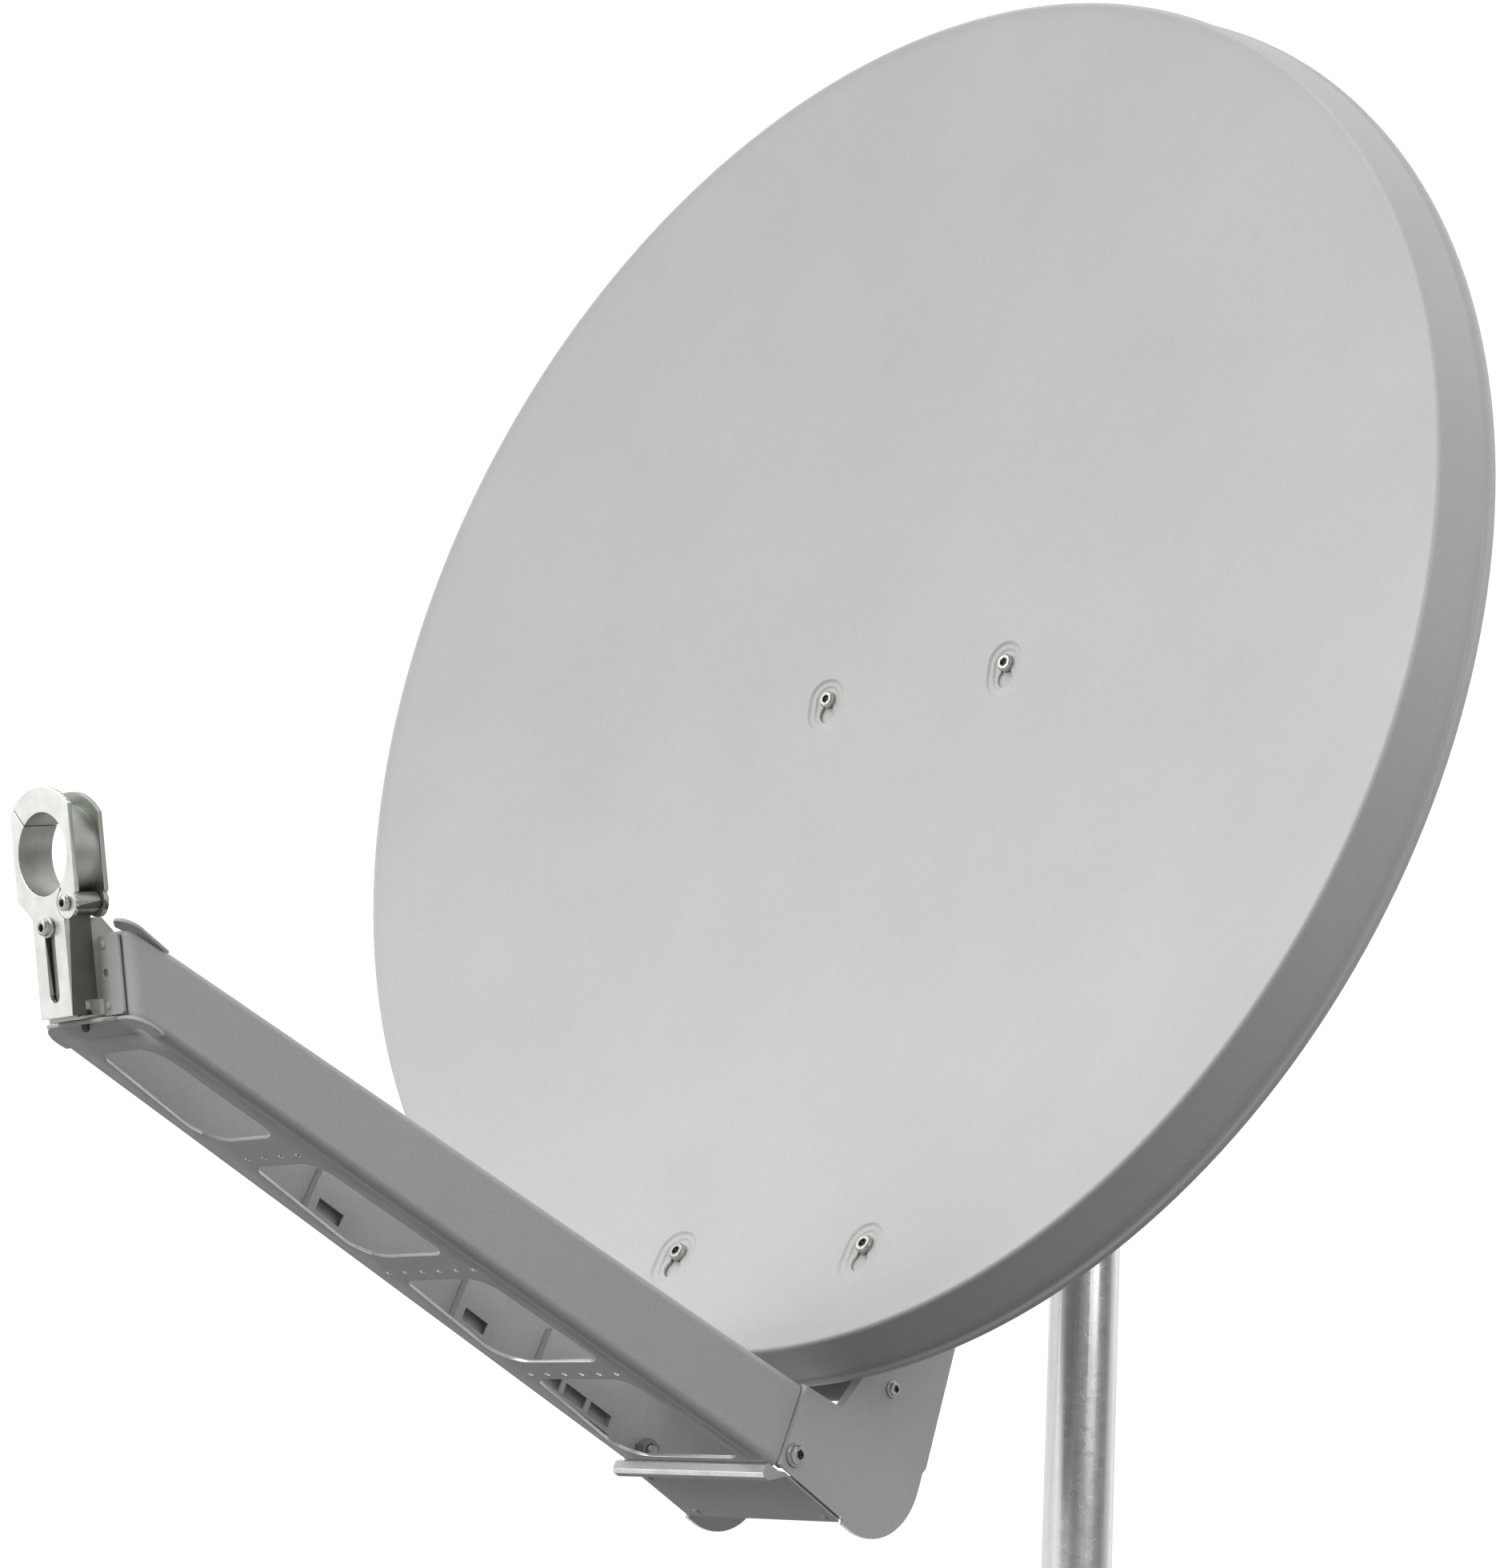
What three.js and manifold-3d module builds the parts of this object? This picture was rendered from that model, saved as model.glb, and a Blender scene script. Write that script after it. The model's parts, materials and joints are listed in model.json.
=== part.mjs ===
// Offset satellite dish on a mast: an elliptical pressed reflector, a folded steel feed arm that carries the
// clamp ring for the receiver, a side-plate frame that tilts on a yoke, and a toothed clamp round the mast.
// Millimetres, +Z up along the mast, the dish faces -Y, the origin is the middle of the mast's lower end.
import * as THREE from 'three';
import { mergeVertices } from 'three/addons/utils/BufferGeometryUtils.js';
import Module from 'manifold-3d';

const wasm = await Module();
wasm.setup();

const DEGREE = Math.PI / 180;

// ---------------------------------------------------------------- driving dimensions
const GAP = 0.3; // between neighbours that touch
const SHEET = 2; // folded steel of the arm and its fittings
const PLATE = 2.4; // the heavier side plates, bars and yoke
const BOLT_HOLE = 4.4; // clears an 8 mm bolt
const BOLT_SHANK = 4;
const NUT_FLATS = 13;
const NUT_HEIGHT = 6.5;
const THROUGH = 100; // a cutting tool that runs right through reaches this far

// mast
const MAST_RADIUS = 22.5;
const MAST_WALL = 2.5;
const MAST_LENGTH = 590;

// reflector
const RIM_HALF_WIDTH = 425;
const OFFSET_ANGLE = 17.2 * DEGREE; // the rim leans this much from square to the paraboloid's axis
const FOCAL_LENGTH = 537;
const RIM_HALF_HEIGHT = RIM_HALF_WIDTH / Math.cos(OFFSET_ANGLE);
const FACE_TILT = 7.6 * DEGREE; // the face leans back from the mast
const RIM_HEIGHT = 700; // rim centre above the mast's lower end
const RIM_REACH = 275; // rim centre in front of the mast's axis
const SKIN = 1.5; // reflector sheet
const FLANGE_DEPTH = 39.6;
const FLANGE_FLARE = 13.6;
const DISH_BOLT_X = 74.8;
const DISH_BOLT_HEIGHTS = { upper: 4.2, lower: -380.7 }; // along the face, from the rim centre
const KEYHOLE_RADIUS = 6.2; // lets a dish bolt's head through
const KEYHOLE_DROP = 10; // below the bolt

// cross bars behind the reflector
const BAR_HALF_LENGTH = 96;
const BAR_HALF_HEIGHT = 18;
const BAR_DEPTH = 18;
const BAR_STANDOFF = SKIN + 2; // from the bowl's front skin to the bar's face

// feed arm; its heel is measured from the rim centre: [y backwards, z up]
const ARM_PITCH = 22.4 * DEGREE; // the arm rises this much towards the feed
const ARM_HEEL = [-66, -510.5]; // underside of the arm at its rear bolts
const ARM_LENGTH = 477;
const ARM_HEEL_HALF_WIDTH = 59.2;
const ARM_NOSE_HALF_WIDTH = 39.6;
const ARM_HEEL_HEIGHT = 51;
const ARM_NOSE_HEIGHT = 36.8;
const ARM_OVERLAP = 14; // the arm's tail between the side plates
const ARM_BEND = 6; // outside radius of the arm's long bends
const ARM_HEM = 9; // width of the hems along the arm's open side
const ARM_BOLT = [-2.5, 11.4]; // in the arm's frame
const NOSE_MOUTH = 17; // half width of the opening in the nose
const LIP_REACH = 4.5; // the nose's lips stand out this much
// the web's openings: [front, rear, half width at the front, left and right half widths at the rear]
const ARM_OPENINGS = [
  [454, 370, 22, 33, 24],
  [345, 251, 25, 36, 30],
  [226, 134, 31, 42, 37],
  [114, 20, 36, 50, 43],
];
// rows of small holes between the openings: [distance ahead, how many]
const ARM_HOLE_ROWS = [[353, 4], [235, 6], [120, 6]];
const HOLE_PITCH = 13.6;
const HOLE_RADIUS = 1.6;
// plates with windows, spot-welded inside the arm's left wall: [front, rear, windows]
const CABLE_PLATES = [[296, 266, 1], [176, 146, 1], [106, 38, 3]];
const CABLE_PLATE_SHEET = 1.2;
const CABLE_PLATE_STANDOFF = 4; // from the wall

// side plates, from the rim centre: [y, z]
const CHEEK_OUTER = 62; // outside of the side plates
const CHEEK_EDGE = -10; // their front edge, in the arm's frame
const NOTCH = [[-26, -471], [-10, -453]]; // the gap that the reflector's rim passes through
const FLOOR_REAR = [-20, -531.6];
const FLOOR_LIP = 9; // the floor plate's lip hangs this far under the web
const TIE_SCREW = [16, -457];
const PIVOT = [185, -230]; // elevation pivot
const PIVOT_SHANK = 5;
const LOCK_RADIUS = 60; // elevation lock bolt from the pivot
const LOCK_ANGLE = 45 * DEGREE;
const TILT_UP = 30 * DEGREE;
const TILT_DOWN = 20 * DEGREE;

// yoke and mast clamp
const YOKE_TOP = -148;
const YOKE_BOTTOM = -298;
const YOKE_WEB_REAR = RIM_REACH - 33.8;
const CLAMP_HEIGHTS = { upper: -185, lower: -262 };
const CLAMP_BOLT_X = 35;
const JAW_HALF_HEIGHT = 11;
const JAW_BACK = 33.5;

// feed bracket and clamp ring, in the ring's frame
const RING_CENTRE = [-544.6, -252.2]; // front of the clamp ring, from the rim centre
const RING_PITCH = 13.77 * DEGREE; // the ring's axis looks up at the dish
const RING_BORE = 20.1;
const RING_WALL = 2.7;
const RING_OUTER = RING_BORE + RING_WALL;
const RING_LENGTH = 19;
const RING_PLATE = 2.5; // its front and rear plates
const REAR_PLATE = RING_LENGTH - RING_PLATE;
const STEM_HALF_WIDTH = 13;
const STEM_BOTTOM = -78;
const SPLIT_ANGLE = 130 * DEGREE; // where the cap parts from the stem
const HINGE_SPLIT = -55 * DEGREE;
const HINGE = [16, -25];
const LOBE = 7.5;
const SLIDE_SCREW_Z = -35;
const SLIDE_TRAVEL = 32;
const BRACKET_HALF = 10.4;
const BRACKET_TOP = -32;
const FOOT_TOP = -78.3; // foot of the feed bracket
const FOOT_SHEET = 1.6;
const FOOT_SCREW_Y = 15.5;
const STRIP_FRONT = 16.4;

// ---------------------------------------------------------------- materials
const finish = (color, roughness, metalness) =>
  new THREE.MeshStandardMaterial({ color, roughness, metalness });
const lightPaint = () => finish(0xc9cac7, 0.55, 0.1);
const armPaint = () => finish(0xc4c5c2, 0.55, 0.1);
const darkPaint = () => finish(0x84867f, 0.6, 0.1);
const zinc = () => finish(0xb4b6b8, 0.38, 0.9);
const castMetal = () => finish(0x8c938b, 0.5, 0.6);
const brightMetal = () => finish(0xd8d8d6, 0.3, 0.9);

// ---------------------------------------------------------------- shape helpers
const AXIS_X = new THREE.Vector3(1, 0, 0);
const AXIS_Y = new THREE.Vector3(0, 1, 0);
const AXIS_Z = new THREE.Vector3(0, 0, 1);
const sidePlane = new THREE.Matrix4().makeBasis(AXIS_Y, AXIS_Z, AXIS_X);
const frontPlane = new THREE.Matrix4().makeBasis(AXIS_X, AXIS_Z, AXIS_Y.clone().negate());

// An outline through corners [x, y, radius]; each corner is rounded by an arc of its radius.
function roundedOutline(corners, Kind = THREE.Shape) {
  const outline = new Kind();
  corners.forEach(([x, y, radius = 0], index) => {
    const corner = new THREE.Vector2(x, y);
    const previous = new THREE.Vector2(...corners.at(index - 1)).sub(corner).normalize();
    const next = new THREE.Vector2(...corners[(index + 1) % corners.length]).sub(corner).normalize();
    const halfAngle = Math.acos(THREE.MathUtils.clamp(previous.dot(next), -1, 1)) / 2;
    const start = corner.clone().addScaledVector(previous, radius / Math.tan(halfAngle));
    if (index === 0) outline.moveTo(start.x, start.y);
    else outline.lineTo(start.x, start.y);
    if (radius === 0) return;
    const middle = previous.clone().add(next).normalize();
    const centre = corner.clone().addScaledVector(middle, radius / Math.sin(halfAngle));
    const end = corner.clone().addScaledVector(next, radius / Math.tan(halfAngle));
    const from = start.sub(centre).angle();
    const to = end.sub(centre).angle();
    outline.absarc(centre.x, centre.y, radius, from, to, previous.cross(next) > 0);
  });
  outline.closePath();
  return outline;
}

const rectangle = (x0, y0, x1, y1, radius = 0, Kind = THREE.Shape) =>
  roundedOutline([[x0, y0, radius], [x1, y0, radius], [x1, y1, radius], [x0, y1, radius]], Kind);

const thickened = (shape, depth, curveSegments) =>
  new THREE.ExtrudeGeometry(shape, { depth, bevelEnabled: false, curveSegments });

// Plate standing across X, drawn in (y, z).
function sidePlate(shape, xLow, xHigh, curveSegments = 4) {
  const geometry = thickened(shape, xHigh - xLow, curveSegments);
  return geometry.applyMatrix4(sidePlane).translate(xLow, 0, 0);
}

// Plate facing the front, drawn in (x, z).
function frontPlate(shape, yFront, yBack, curveSegments = 4) {
  const geometry = thickened(shape, yBack - yFront, curveSegments);
  return geometry.applyMatrix4(frontPlane).translate(0, yBack, 0);
}

// Plate lying flat, drawn in (x, y).
function flatPlate(shape, zLow, zHigh, curveSegments = 4) {
  const geometry = thickened(shape, zHigh - zLow, curveSegments);
  return geometry.translate(0, 0, zLow);
}

const rodAlongX = (radius, xLow, xHigh, y, z, sides = 16) =>
  new THREE.CylinderGeometry(radius, radius, xHigh - xLow, sides).rotateZ(Math.PI / 2)
    .translate((xLow + xHigh) / 2, y, z);
const rodAlongY = (radius, yLow, yHigh, x, z, sides = 16) =>
  new THREE.CylinderGeometry(radius, radius, yHigh - yLow, sides).translate(x, (yLow + yHigh) / 2, z);

function toSolid(geometry) {
  const bare = geometry.clone();
  bare.deleteAttribute('normal');
  bare.deleteAttribute('uv');
  const merged = mergeVertices(bare, 1e-4);
  return new wasm.Manifold(new wasm.Mesh({
    numProp: 3,
    vertProperties: Float32Array.from(merged.attributes.position.array),
    triVerts: Uint32Array.from(merged.index.array),
  }));
}

function toGeometry(solid) {
  const mesh = solid.getMesh();
  const geometry = new THREE.BufferGeometry();
  geometry.setAttribute('position', new THREE.BufferAttribute(mesh.vertProperties.slice(), 3));
  geometry.setIndex(new THREE.BufferAttribute(mesh.triVerts.slice(), 1));
  return geometry;
}

const joined = (first, ...others) => others.reduce((sum, other) => sum.add(toSolid(other)), toSolid(first));
const cut = (solid, ...tools) => tools.reduce((rest, tool) => rest.subtract(toSolid(tool)), solid);

function moveVertices(geometry, move) {
  const position = geometry.attributes.position;
  const point = new THREE.Vector3();
  for (let i = 0; i < position.count; i++) {
    move(point.fromBufferAttribute(position, i));
    position.setXYZ(i, point.x, point.y, point.z);
  }
  return geometry;
}

const mirrored = (geometry) => {
  const solid = toSolid(geometry).mirror([1, 0, 0]);
  return toGeometry(solid);
};

// ---------------------------------------------------------------- fasteners
// A screw along +Z: its washer face is at z = 0, the head stands below it and the shank runs up.
function screw({ shank, length, head, headHeight, washer = 0, washerHeight = 0, sides = 14 }) {
  const headBase = -washerHeight;
  const chamfer = headHeight * 0.3;
  const profile = [
    [0, headBase - headHeight],
    [head - chamfer, headBase - headHeight],
    [head, headBase - headHeight + chamfer],
    [head, headBase],
  ];
  if (washer > 0) profile.push([washer, headBase], [washer, 0]);
  profile.push([shank, 0], [shank, length - 1], [shank - 0.8, length], [0, length]);
  const points = profile.map(([radius, height]) => new THREE.Vector2(radius, height));
  return new THREE.LatheGeometry(points, sides).rotateX(Math.PI / 2);
}

// A hexagon nut round a shank along Z, from z = 0 up.
function nut(shank, acrossFlats, height) {
  const corner = acrossFlats / 2 / Math.cos(30 * DEGREE);
  const hexagon = new THREE.Shape();
  for (let i = 0; i < 6; i++) {
    const angle = i * 60 * DEGREE;
    const method = i === 0 ? 'moveTo' : 'lineTo';
    hexagon[method](corner * Math.cos(angle), corner * Math.sin(angle));
  }
  hexagon.closePath();
  const hole = new THREE.Path();
  hole.absarc(0, 0, shank + GAP, 0, 2 * Math.PI, true);
  hexagon.holes.push(hole);
  return flatPlate(hexagon, 0, height, 6);
}

const boltNut = () => nut(BOLT_SHANK, NUT_FLATS, NUT_HEIGHT);

// ---------------------------------------------------------------- scene graph
const FACING_BACK = [-Math.PI / 2, 0, 0]; // turns a screw's shank from up to backwards
const dish = new THREE.Group();
const rimFrame = new THREE.Group();
rimFrame.position.set(0, -RIM_REACH, RIM_HEIGHT);
const faceFrame = new THREE.Group();
faceFrame.rotation.x = -FACE_TILT;
const armFrame = new THREE.Group();
armFrame.position.set(0, ...ARM_HEEL);
armFrame.rotation.x = -ARM_PITCH;
const ringFrame = new THREE.Group();
ringFrame.position.set(0, ...RING_CENTRE);
ringFrame.rotation.x = RING_PITCH;
rimFrame.add(faceFrame, armFrame, ringFrame);
dish.add(rimFrame);

function addPart(parent, name, geometry, material, place = {}) {
  const mesh = new THREE.Mesh(geometry, material);
  mesh.name = name;
  if (place.at) mesh.position.set(...place.at);
  if (place.turn) mesh.rotation.set(...place.turn);
  parent.add(mesh);
}

// A point given in the arm's frame [y, z], seen from the rim centre.
function fromArm([y, z]) {
  return [
    ARM_HEEL[0] + y * Math.cos(ARM_PITCH) + z * Math.sin(ARM_PITCH),
    ARM_HEEL[1] - y * Math.sin(ARM_PITCH) + z * Math.cos(ARM_PITCH),
  ];
}

// The same for a point given in the ring's frame.
function fromRing([y, z]) {
  return [
    RING_CENTRE[0] + y * Math.cos(RING_PITCH) - z * Math.sin(RING_PITCH),
    RING_CENTRE[1] + y * Math.sin(RING_PITCH) + z * Math.cos(RING_PITCH),
  ];
}

// The other way: a point seen from the rim centre, given in the arm's frame.
function intoArm([y, z]) {
  const [back, up] = [y - ARM_HEEL[0], z - ARM_HEEL[1]];
  return [
    back * Math.cos(ARM_PITCH) - up * Math.sin(ARM_PITCH),
    back * Math.sin(ARM_PITCH) + up * Math.cos(ARM_PITCH),
  ];
}

// ---------------------------------------------------------------- mast
function mastTube() {
  const section = new THREE.Shape();
  section.absarc(0, 0, MAST_RADIUS, 0, 2 * Math.PI);
  const bore = new THREE.Path();
  bore.absarc(0, 0, MAST_RADIUS - MAST_WALL, 0, 2 * Math.PI, true);
  section.holes.push(bore);
  return flatPlate(section, 0, MAST_LENGTH, 20);
}
addPart(dish, 'mast_tube', mastTube(), zinc());

// ---------------------------------------------------------------- reflector
// Depth of the offset paraboloid behind the rim's plane at (x, up the face).
function bowlDepth(x, up) {
  const sine = Math.sin(OFFSET_ANGLE);
  const cosine = Math.cos(OFFSET_ANGLE);
  const offset = 2 * FOCAL_LENGTH * Math.tan(OFFSET_ANGLE); // from the paraboloid's axis to the rim's centre
  const height = offset + up * cosine;
  const rimShift = (RIM_HALF_WIDTH ** 2 + offset ** 2) / (4 * FOCAL_LENGTH);
  const a = sine ** 2;
  const b = -(2 * sine * height + 4 * FOCAL_LENGTH * cosine);
  const c = height ** 2 + x ** 2 - 4 * FOCAL_LENGTH * (rimShift + up * sine);
  return -(-b - Math.sqrt(b ** 2 - 4 * a * c)) / (2 * a);
}

// Lean of the bowl's surface, up the face, at (x, up).
function bowlLean(x, up) {
  const step = 1;
  return Math.atan((bowlDepth(x, up + step) - bowlDepth(x, up - step)) / (2 * step));
}

// The reflector hangs on its bolts by keyholes: a neck round the shank, above a hole that passes the head.
function keyhole() {
  const spread = Math.asin(BOLT_HOLE / KEYHOLE_RADIUS);
  const outline = new THREE.Shape();
  outline.absarc(0, 0, BOLT_HOLE, 0, Math.PI);
  outline.absarc(0, -KEYHOLE_DROP, KEYHOLE_RADIUS, Math.PI / 2 + spread, 5 * Math.PI / 2 - spread);
  outline.closePath();
  return outline;
}

// The section is turned as a round dish, then each ring is stretched to the ellipse and set to the bowl's
// depth. The section's first number is the distance from the centre, the second the distance behind the skin.
function reflector() {
  const rings = 8;
  const section = [];
  for (let i = 0; i <= rings; i++) section.push([RIM_HALF_WIDTH * i / rings, 0]);
  section.push(
    [RIM_HALF_WIDTH + 1.6, 0.4],
    [RIM_HALF_WIDTH + 2.8, 2],
    [RIM_HALF_WIDTH + FLANGE_FLARE - 1.2, FLANGE_DEPTH - 8],
    [RIM_HALF_WIDTH + FLANGE_FLARE, FLANGE_DEPTH],
    [RIM_HALF_WIDTH + FLANGE_FLARE - SKIN, FLANGE_DEPTH],
    [RIM_HALF_WIDTH + FLANGE_FLARE - SKIN - 1.2, FLANGE_DEPTH - 8],
    [RIM_HALF_WIDTH + 1.2, 3],
  );
  for (let i = rings; i >= 0; i--) section.push([RIM_HALF_WIDTH * i / rings, SKIN + 0.6 * (i === rings)]);
  // the stretch swaps two axes, which turns faces round, so the section is turned in reverse
  const points = section.reverse().map(([radius, behind]) => new THREE.Vector2(radius, behind));
  const turned = new THREE.LatheGeometry(points, 72).rotateX(Math.PI / 2);
  const stretch = (point) => {
    const radius = Math.hypot(point.x, point.y);
    const share = Math.min(radius, RIM_HALF_WIDTH);
    const past = radius - share;
    const [right, up] = radius > 0 ? [point.x / radius, point.y / radius] : [0, 0];
    const upShare = share * RIM_HALF_HEIGHT / RIM_HALF_WIDTH;
    const depth = bowlDepth(right * share, up * upShare);
    point.set(right * (share + past), depth + point.z, up * (upShare + past));
  };
  const shell = moveVertices(turned, stretch);
  const holes = [];
  for (const up of Object.values(DISH_BOLT_HEIGHTS)) {
    for (const side of [-1, 1]) {
      const hole = frontPlate(keyhole(), -15, 15, 5).translate(side * DISH_BOLT_X, 0, 0);
      holes.push(hole.rotateX(-bowlLean(DISH_BOLT_X, up)).translate(0, bowlDepth(0, up), up));
    }
  }
  return toGeometry(cut(toSolid(shell), ...holes));
}
addPart(faceFrame, 'reflector', reflector(), lightPaint());

// ---------------------------------------------------------------- cross bars and the dish's bolts
function crossBar() {
  const section = new THREE.Shape();
  const inside = PLATE;
  section.moveTo(0, -BAR_HALF_HEIGHT);
  section.lineTo(BAR_DEPTH, -BAR_HALF_HEIGHT);
  section.lineTo(BAR_DEPTH, -BAR_HALF_HEIGHT + inside);
  section.lineTo(inside, -BAR_HALF_HEIGHT + inside);
  section.lineTo(inside, BAR_HALF_HEIGHT - inside);
  section.lineTo(BAR_DEPTH, BAR_HALF_HEIGHT - inside);
  section.lineTo(BAR_DEPTH, BAR_HALF_HEIGHT);
  section.lineTo(0, BAR_HALF_HEIGHT);
  section.closePath();
  const holes = [-1, 1].map((side) => rodAlongY(BOLT_HOLE, -5, 5, side * DISH_BOLT_X, 0, 12));
  return toGeometry(cut(toSolid(sidePlate(section, -BAR_HALF_LENGTH, BAR_HALF_LENGTH)), ...holes));
}

for (const [place, up] of Object.entries(DISH_BOLT_HEIGHTS)) {
  const seat = new THREE.Group();
  seat.position.set(0, bowlDepth(0, up), up);
  const shallower = bowlDepth(0, up) - bowlDepth(DISH_BOLT_X, up);
  seat.rotation.x = -bowlLean(DISH_BOLT_X, up);
  faceFrame.add(seat);
  addPart(seat, `cross_bar_${place}`, crossBar(), lightPaint(), { at: [0, BAR_STANDOFF, 0] });
  for (const [side, x] of [['left', -DISH_BOLT_X], ['right', DISH_BOLT_X]]) {
    const bolt = screw({ shank: BOLT_SHANK, length: 19, head: 5.6, headHeight: 3.6 });
    const boltPlace = { at: [x, -shallower - 1, 0], turn: FACING_BACK };
    addPart(seat, `dish_bolt_${place}_${side}`, bolt, zinc(), boltPlace);
    const nutPlace = { at: [x, BAR_STANDOFF + PLATE + GAP, 0], turn: FACING_BACK };
    addPart(seat, `dish_nut_${place}_${side}`, boltNut(), zinc(), nutPlace);
  }
}

// ---------------------------------------------------------------- feed arm
// Half width and height of the arm at a distance ahead of its heel.
const armShare = (ahead) => THREE.MathUtils.clamp(ahead / ARM_LENGTH, 0, 1);
const armHeightShare = (ahead) =>
  THREE.MathUtils.lerp(1, ARM_NOSE_HEIGHT / ARM_HEEL_HEIGHT, armShare(ahead));
const NOSE_SLANT = Math.tan(ARM_PITCH + RING_PITCH); // the nose stands square to the ring's axis

// A closed block with the arm's plan, drawn in by `inset`, between two heights; `bend` rounds its lower edge.
function armBlock(inset, low, high, tail, bend) {
  const nose = ARM_NOSE_HALF_WIDTH - inset;
  const heel = ARM_HEEL_HALF_WIDTH - inset;
  const front = -(ARM_LENGTH - inset);
  const corner = Math.max(9 - inset, 1);
  const drawn = [
    [-nose + bend, front + bend, corner],
    [nose - bend, front + bend, corner],
    [heel - bend, 0],
    [heel - bend, tail - bend],
    [-heel + bend, tail - bend],
    [-heel + bend, 0],
  ];
  const geometry = new THREE.ExtrudeGeometry(roundedOutline(drawn), {
    depth: high - low - 2 * bend,
    bevelEnabled: bend > 0,
    bevelThickness: bend,
    bevelSize: bend,
    bevelSegments: 3,
    curveSegments: 3,
  }).translate(0, 0, low + bend);
  return moveVertices(geometry, (point) => {
    point.z *= armHeightShare(-point.y);
    point.y -= NOSE_SLANT * point.z * armShare(-point.y);
  });
}

const openingOutline = ([front, rear, frontHalf, left, right]) =>
  roundedOutline([[-frontHalf, -front, 9], [frontHalf, -front, 14], [right, -rear, 10], [-left, -rear, 18]]);

// Moves a geometry drawn in the ring's frame into the arm's.
const ringToArm = (geometry) =>
  geometry.rotateX(RING_PITCH + ARM_PITCH).translate(0, ...intoArm(RING_CENTRE));

// The end of the web, bent level with the ring's axis to carry the feed bracket's foot.
function noseTongue() {
  const top = FOOT_TOP - FOOT_SHEET - GAP;
  return ringToArm(flatPlate(rectangle(-24, 9, 24, 22), top - SHEET, top));
}

// Rounded lips that stand out round the nose's corners: one across the web, one at the upper right corner.
function noseLips() {
  const out = ARM_NOSE_HALF_WIDTH + LIP_REACH;
  const front = -ARM_LENGTH - 2.5;
  const rear = front + 18;
  const lower = roundedOutline([[-out, front, 12], [out, front, 12], [out - 4, rear], [4 - out, rear]]);
  const top = ARM_NOSE_HEIGHT;
  const topFront = front - NOSE_SLANT * top - 2.5;
  const upper = roundedOutline([
    [29, topFront + 4],
    [33, topFront, 2],
    [out + 1, topFront, 9],
    [out - 3, topFront + 30],
  ]);
  return [flatPlate(lower, 0, SHEET, 5), flatPlate(upper, top - 1.8, top, 5)];
}

function armChannel() {
  const blank = ARM_HEEL_HEIGHT;
  const outer = toSolid(armBlock(0, 0, blank + 2 * ARM_BEND, ARM_OVERLAP, ARM_BEND));
  const inner = armBlock(SHEET, SHEET, blank - SHEET, ARM_OVERLAP + 40, ARM_BEND - SHEET);
  const mouth = armBlock(ARM_HEM, blank / 2, blank + 40, ARM_OVERLAP + 40, 0);
  const headroom = armBlock(-20, blank, blank + 60, ARM_OVERLAP + 40, 0);
  const tailroom = flatPlate(rectangle(-80, ARM_OVERLAP - ARM_BEND, 80, ARM_OVERLAP + 80), -20, 120);
  let arm = cut(outer, inner, mouth, headroom, tailroom);
  for (const opening of ARM_OPENINGS) arm = cut(arm, flatPlate(openingOutline(opening), -5, 20, 6));
  for (const [ahead, count] of ARM_HOLE_ROWS) {
    for (let i = 0; i < count; i++) {
      const hole = new THREE.CylinderGeometry(HOLE_RADIUS, HOLE_RADIUS, 10, 6).rotateX(Math.PI / 2);
      arm = cut(arm, hole.translate((i - (count - 1) / 2) * HOLE_PITCH, -ahead, 0));
    }
  }
  const noseCut = frontPlate(rectangle(-NOSE_MOUTH, SHEET, NOSE_MOUTH, 90), -700, -ARM_LENGTH + 12);
  const rearBolts = rodAlongX(BOLT_HOLE, -THROUGH, THROUGH, ARM_BOLT[0], ARM_BOLT[1], 14);
  // the web stops at the floor plate's lip; only the side walls run on between the side plates
  const webTail = flatPlate(rectangle(-90, CHEEK_EDGE + 0.5, 90, 60), -5, 3.8);
  arm = cut(arm, noseCut, rearBolts, webTail);
  for (const piece of [noseTongue(), ...noseLips()]) arm = arm.add(toSolid(piece));
  const screwHole = new THREE.CylinderGeometry(2.4, 2.4, 10, 12).rotateX(Math.PI / 2);
  return toGeometry(cut(arm, ringToArm(screwHole.translate(0, FOOT_SCREW_Y, FOOT_TOP))));
}
addPart(armFrame, 'arm_channel', armChannel(), armPaint());

CABLE_PLATES.forEach(([front, rear, windows], index) => {
  const low = SHEET + 2.5; // clears the bend between the wall and the web
  const high = 36;
  const strip = (from, to, xLow) => sidePlate(rectangle(-from, low, -to, high), xLow, CABLE_PLATE_SHEET);
  const feet = [
    strip(front, front - CABLE_PLATE_SHEET, GAP - CABLE_PLATE_STANDOFF),
    strip(rear + CABLE_PLATE_SHEET, rear, GAP - CABLE_PLATE_STANDOFF),
  ];
  const pitch = (front - rear) / windows;
  const openings = [];
  for (let i = 0; i < windows; i++) {
    const middle = -rear - pitch * (i + 0.5);
    openings.push(sidePlate(rectangle(middle - 9.5, low + 3, middle + 9.5, low + 10), -1, 5));
  }
  const lean = Math.atan((ARM_HEEL_HALF_WIDTH - ARM_NOSE_HALF_WIDTH) / ARM_LENGTH);
  const place = { at: [-ARM_HEEL_HALF_WIDTH + SHEET + 0.2 + CABLE_PLATE_STANDOFF, 0, 0], turn: [0, 0, lean] };
  const pierced = toGeometry(cut(joined(strip(front, rear, 0), ...feet), ...openings));
  addPart(armFrame, `arm_cable_plate_${index + 1}`, pierced, armPaint(), place);
});

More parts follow.
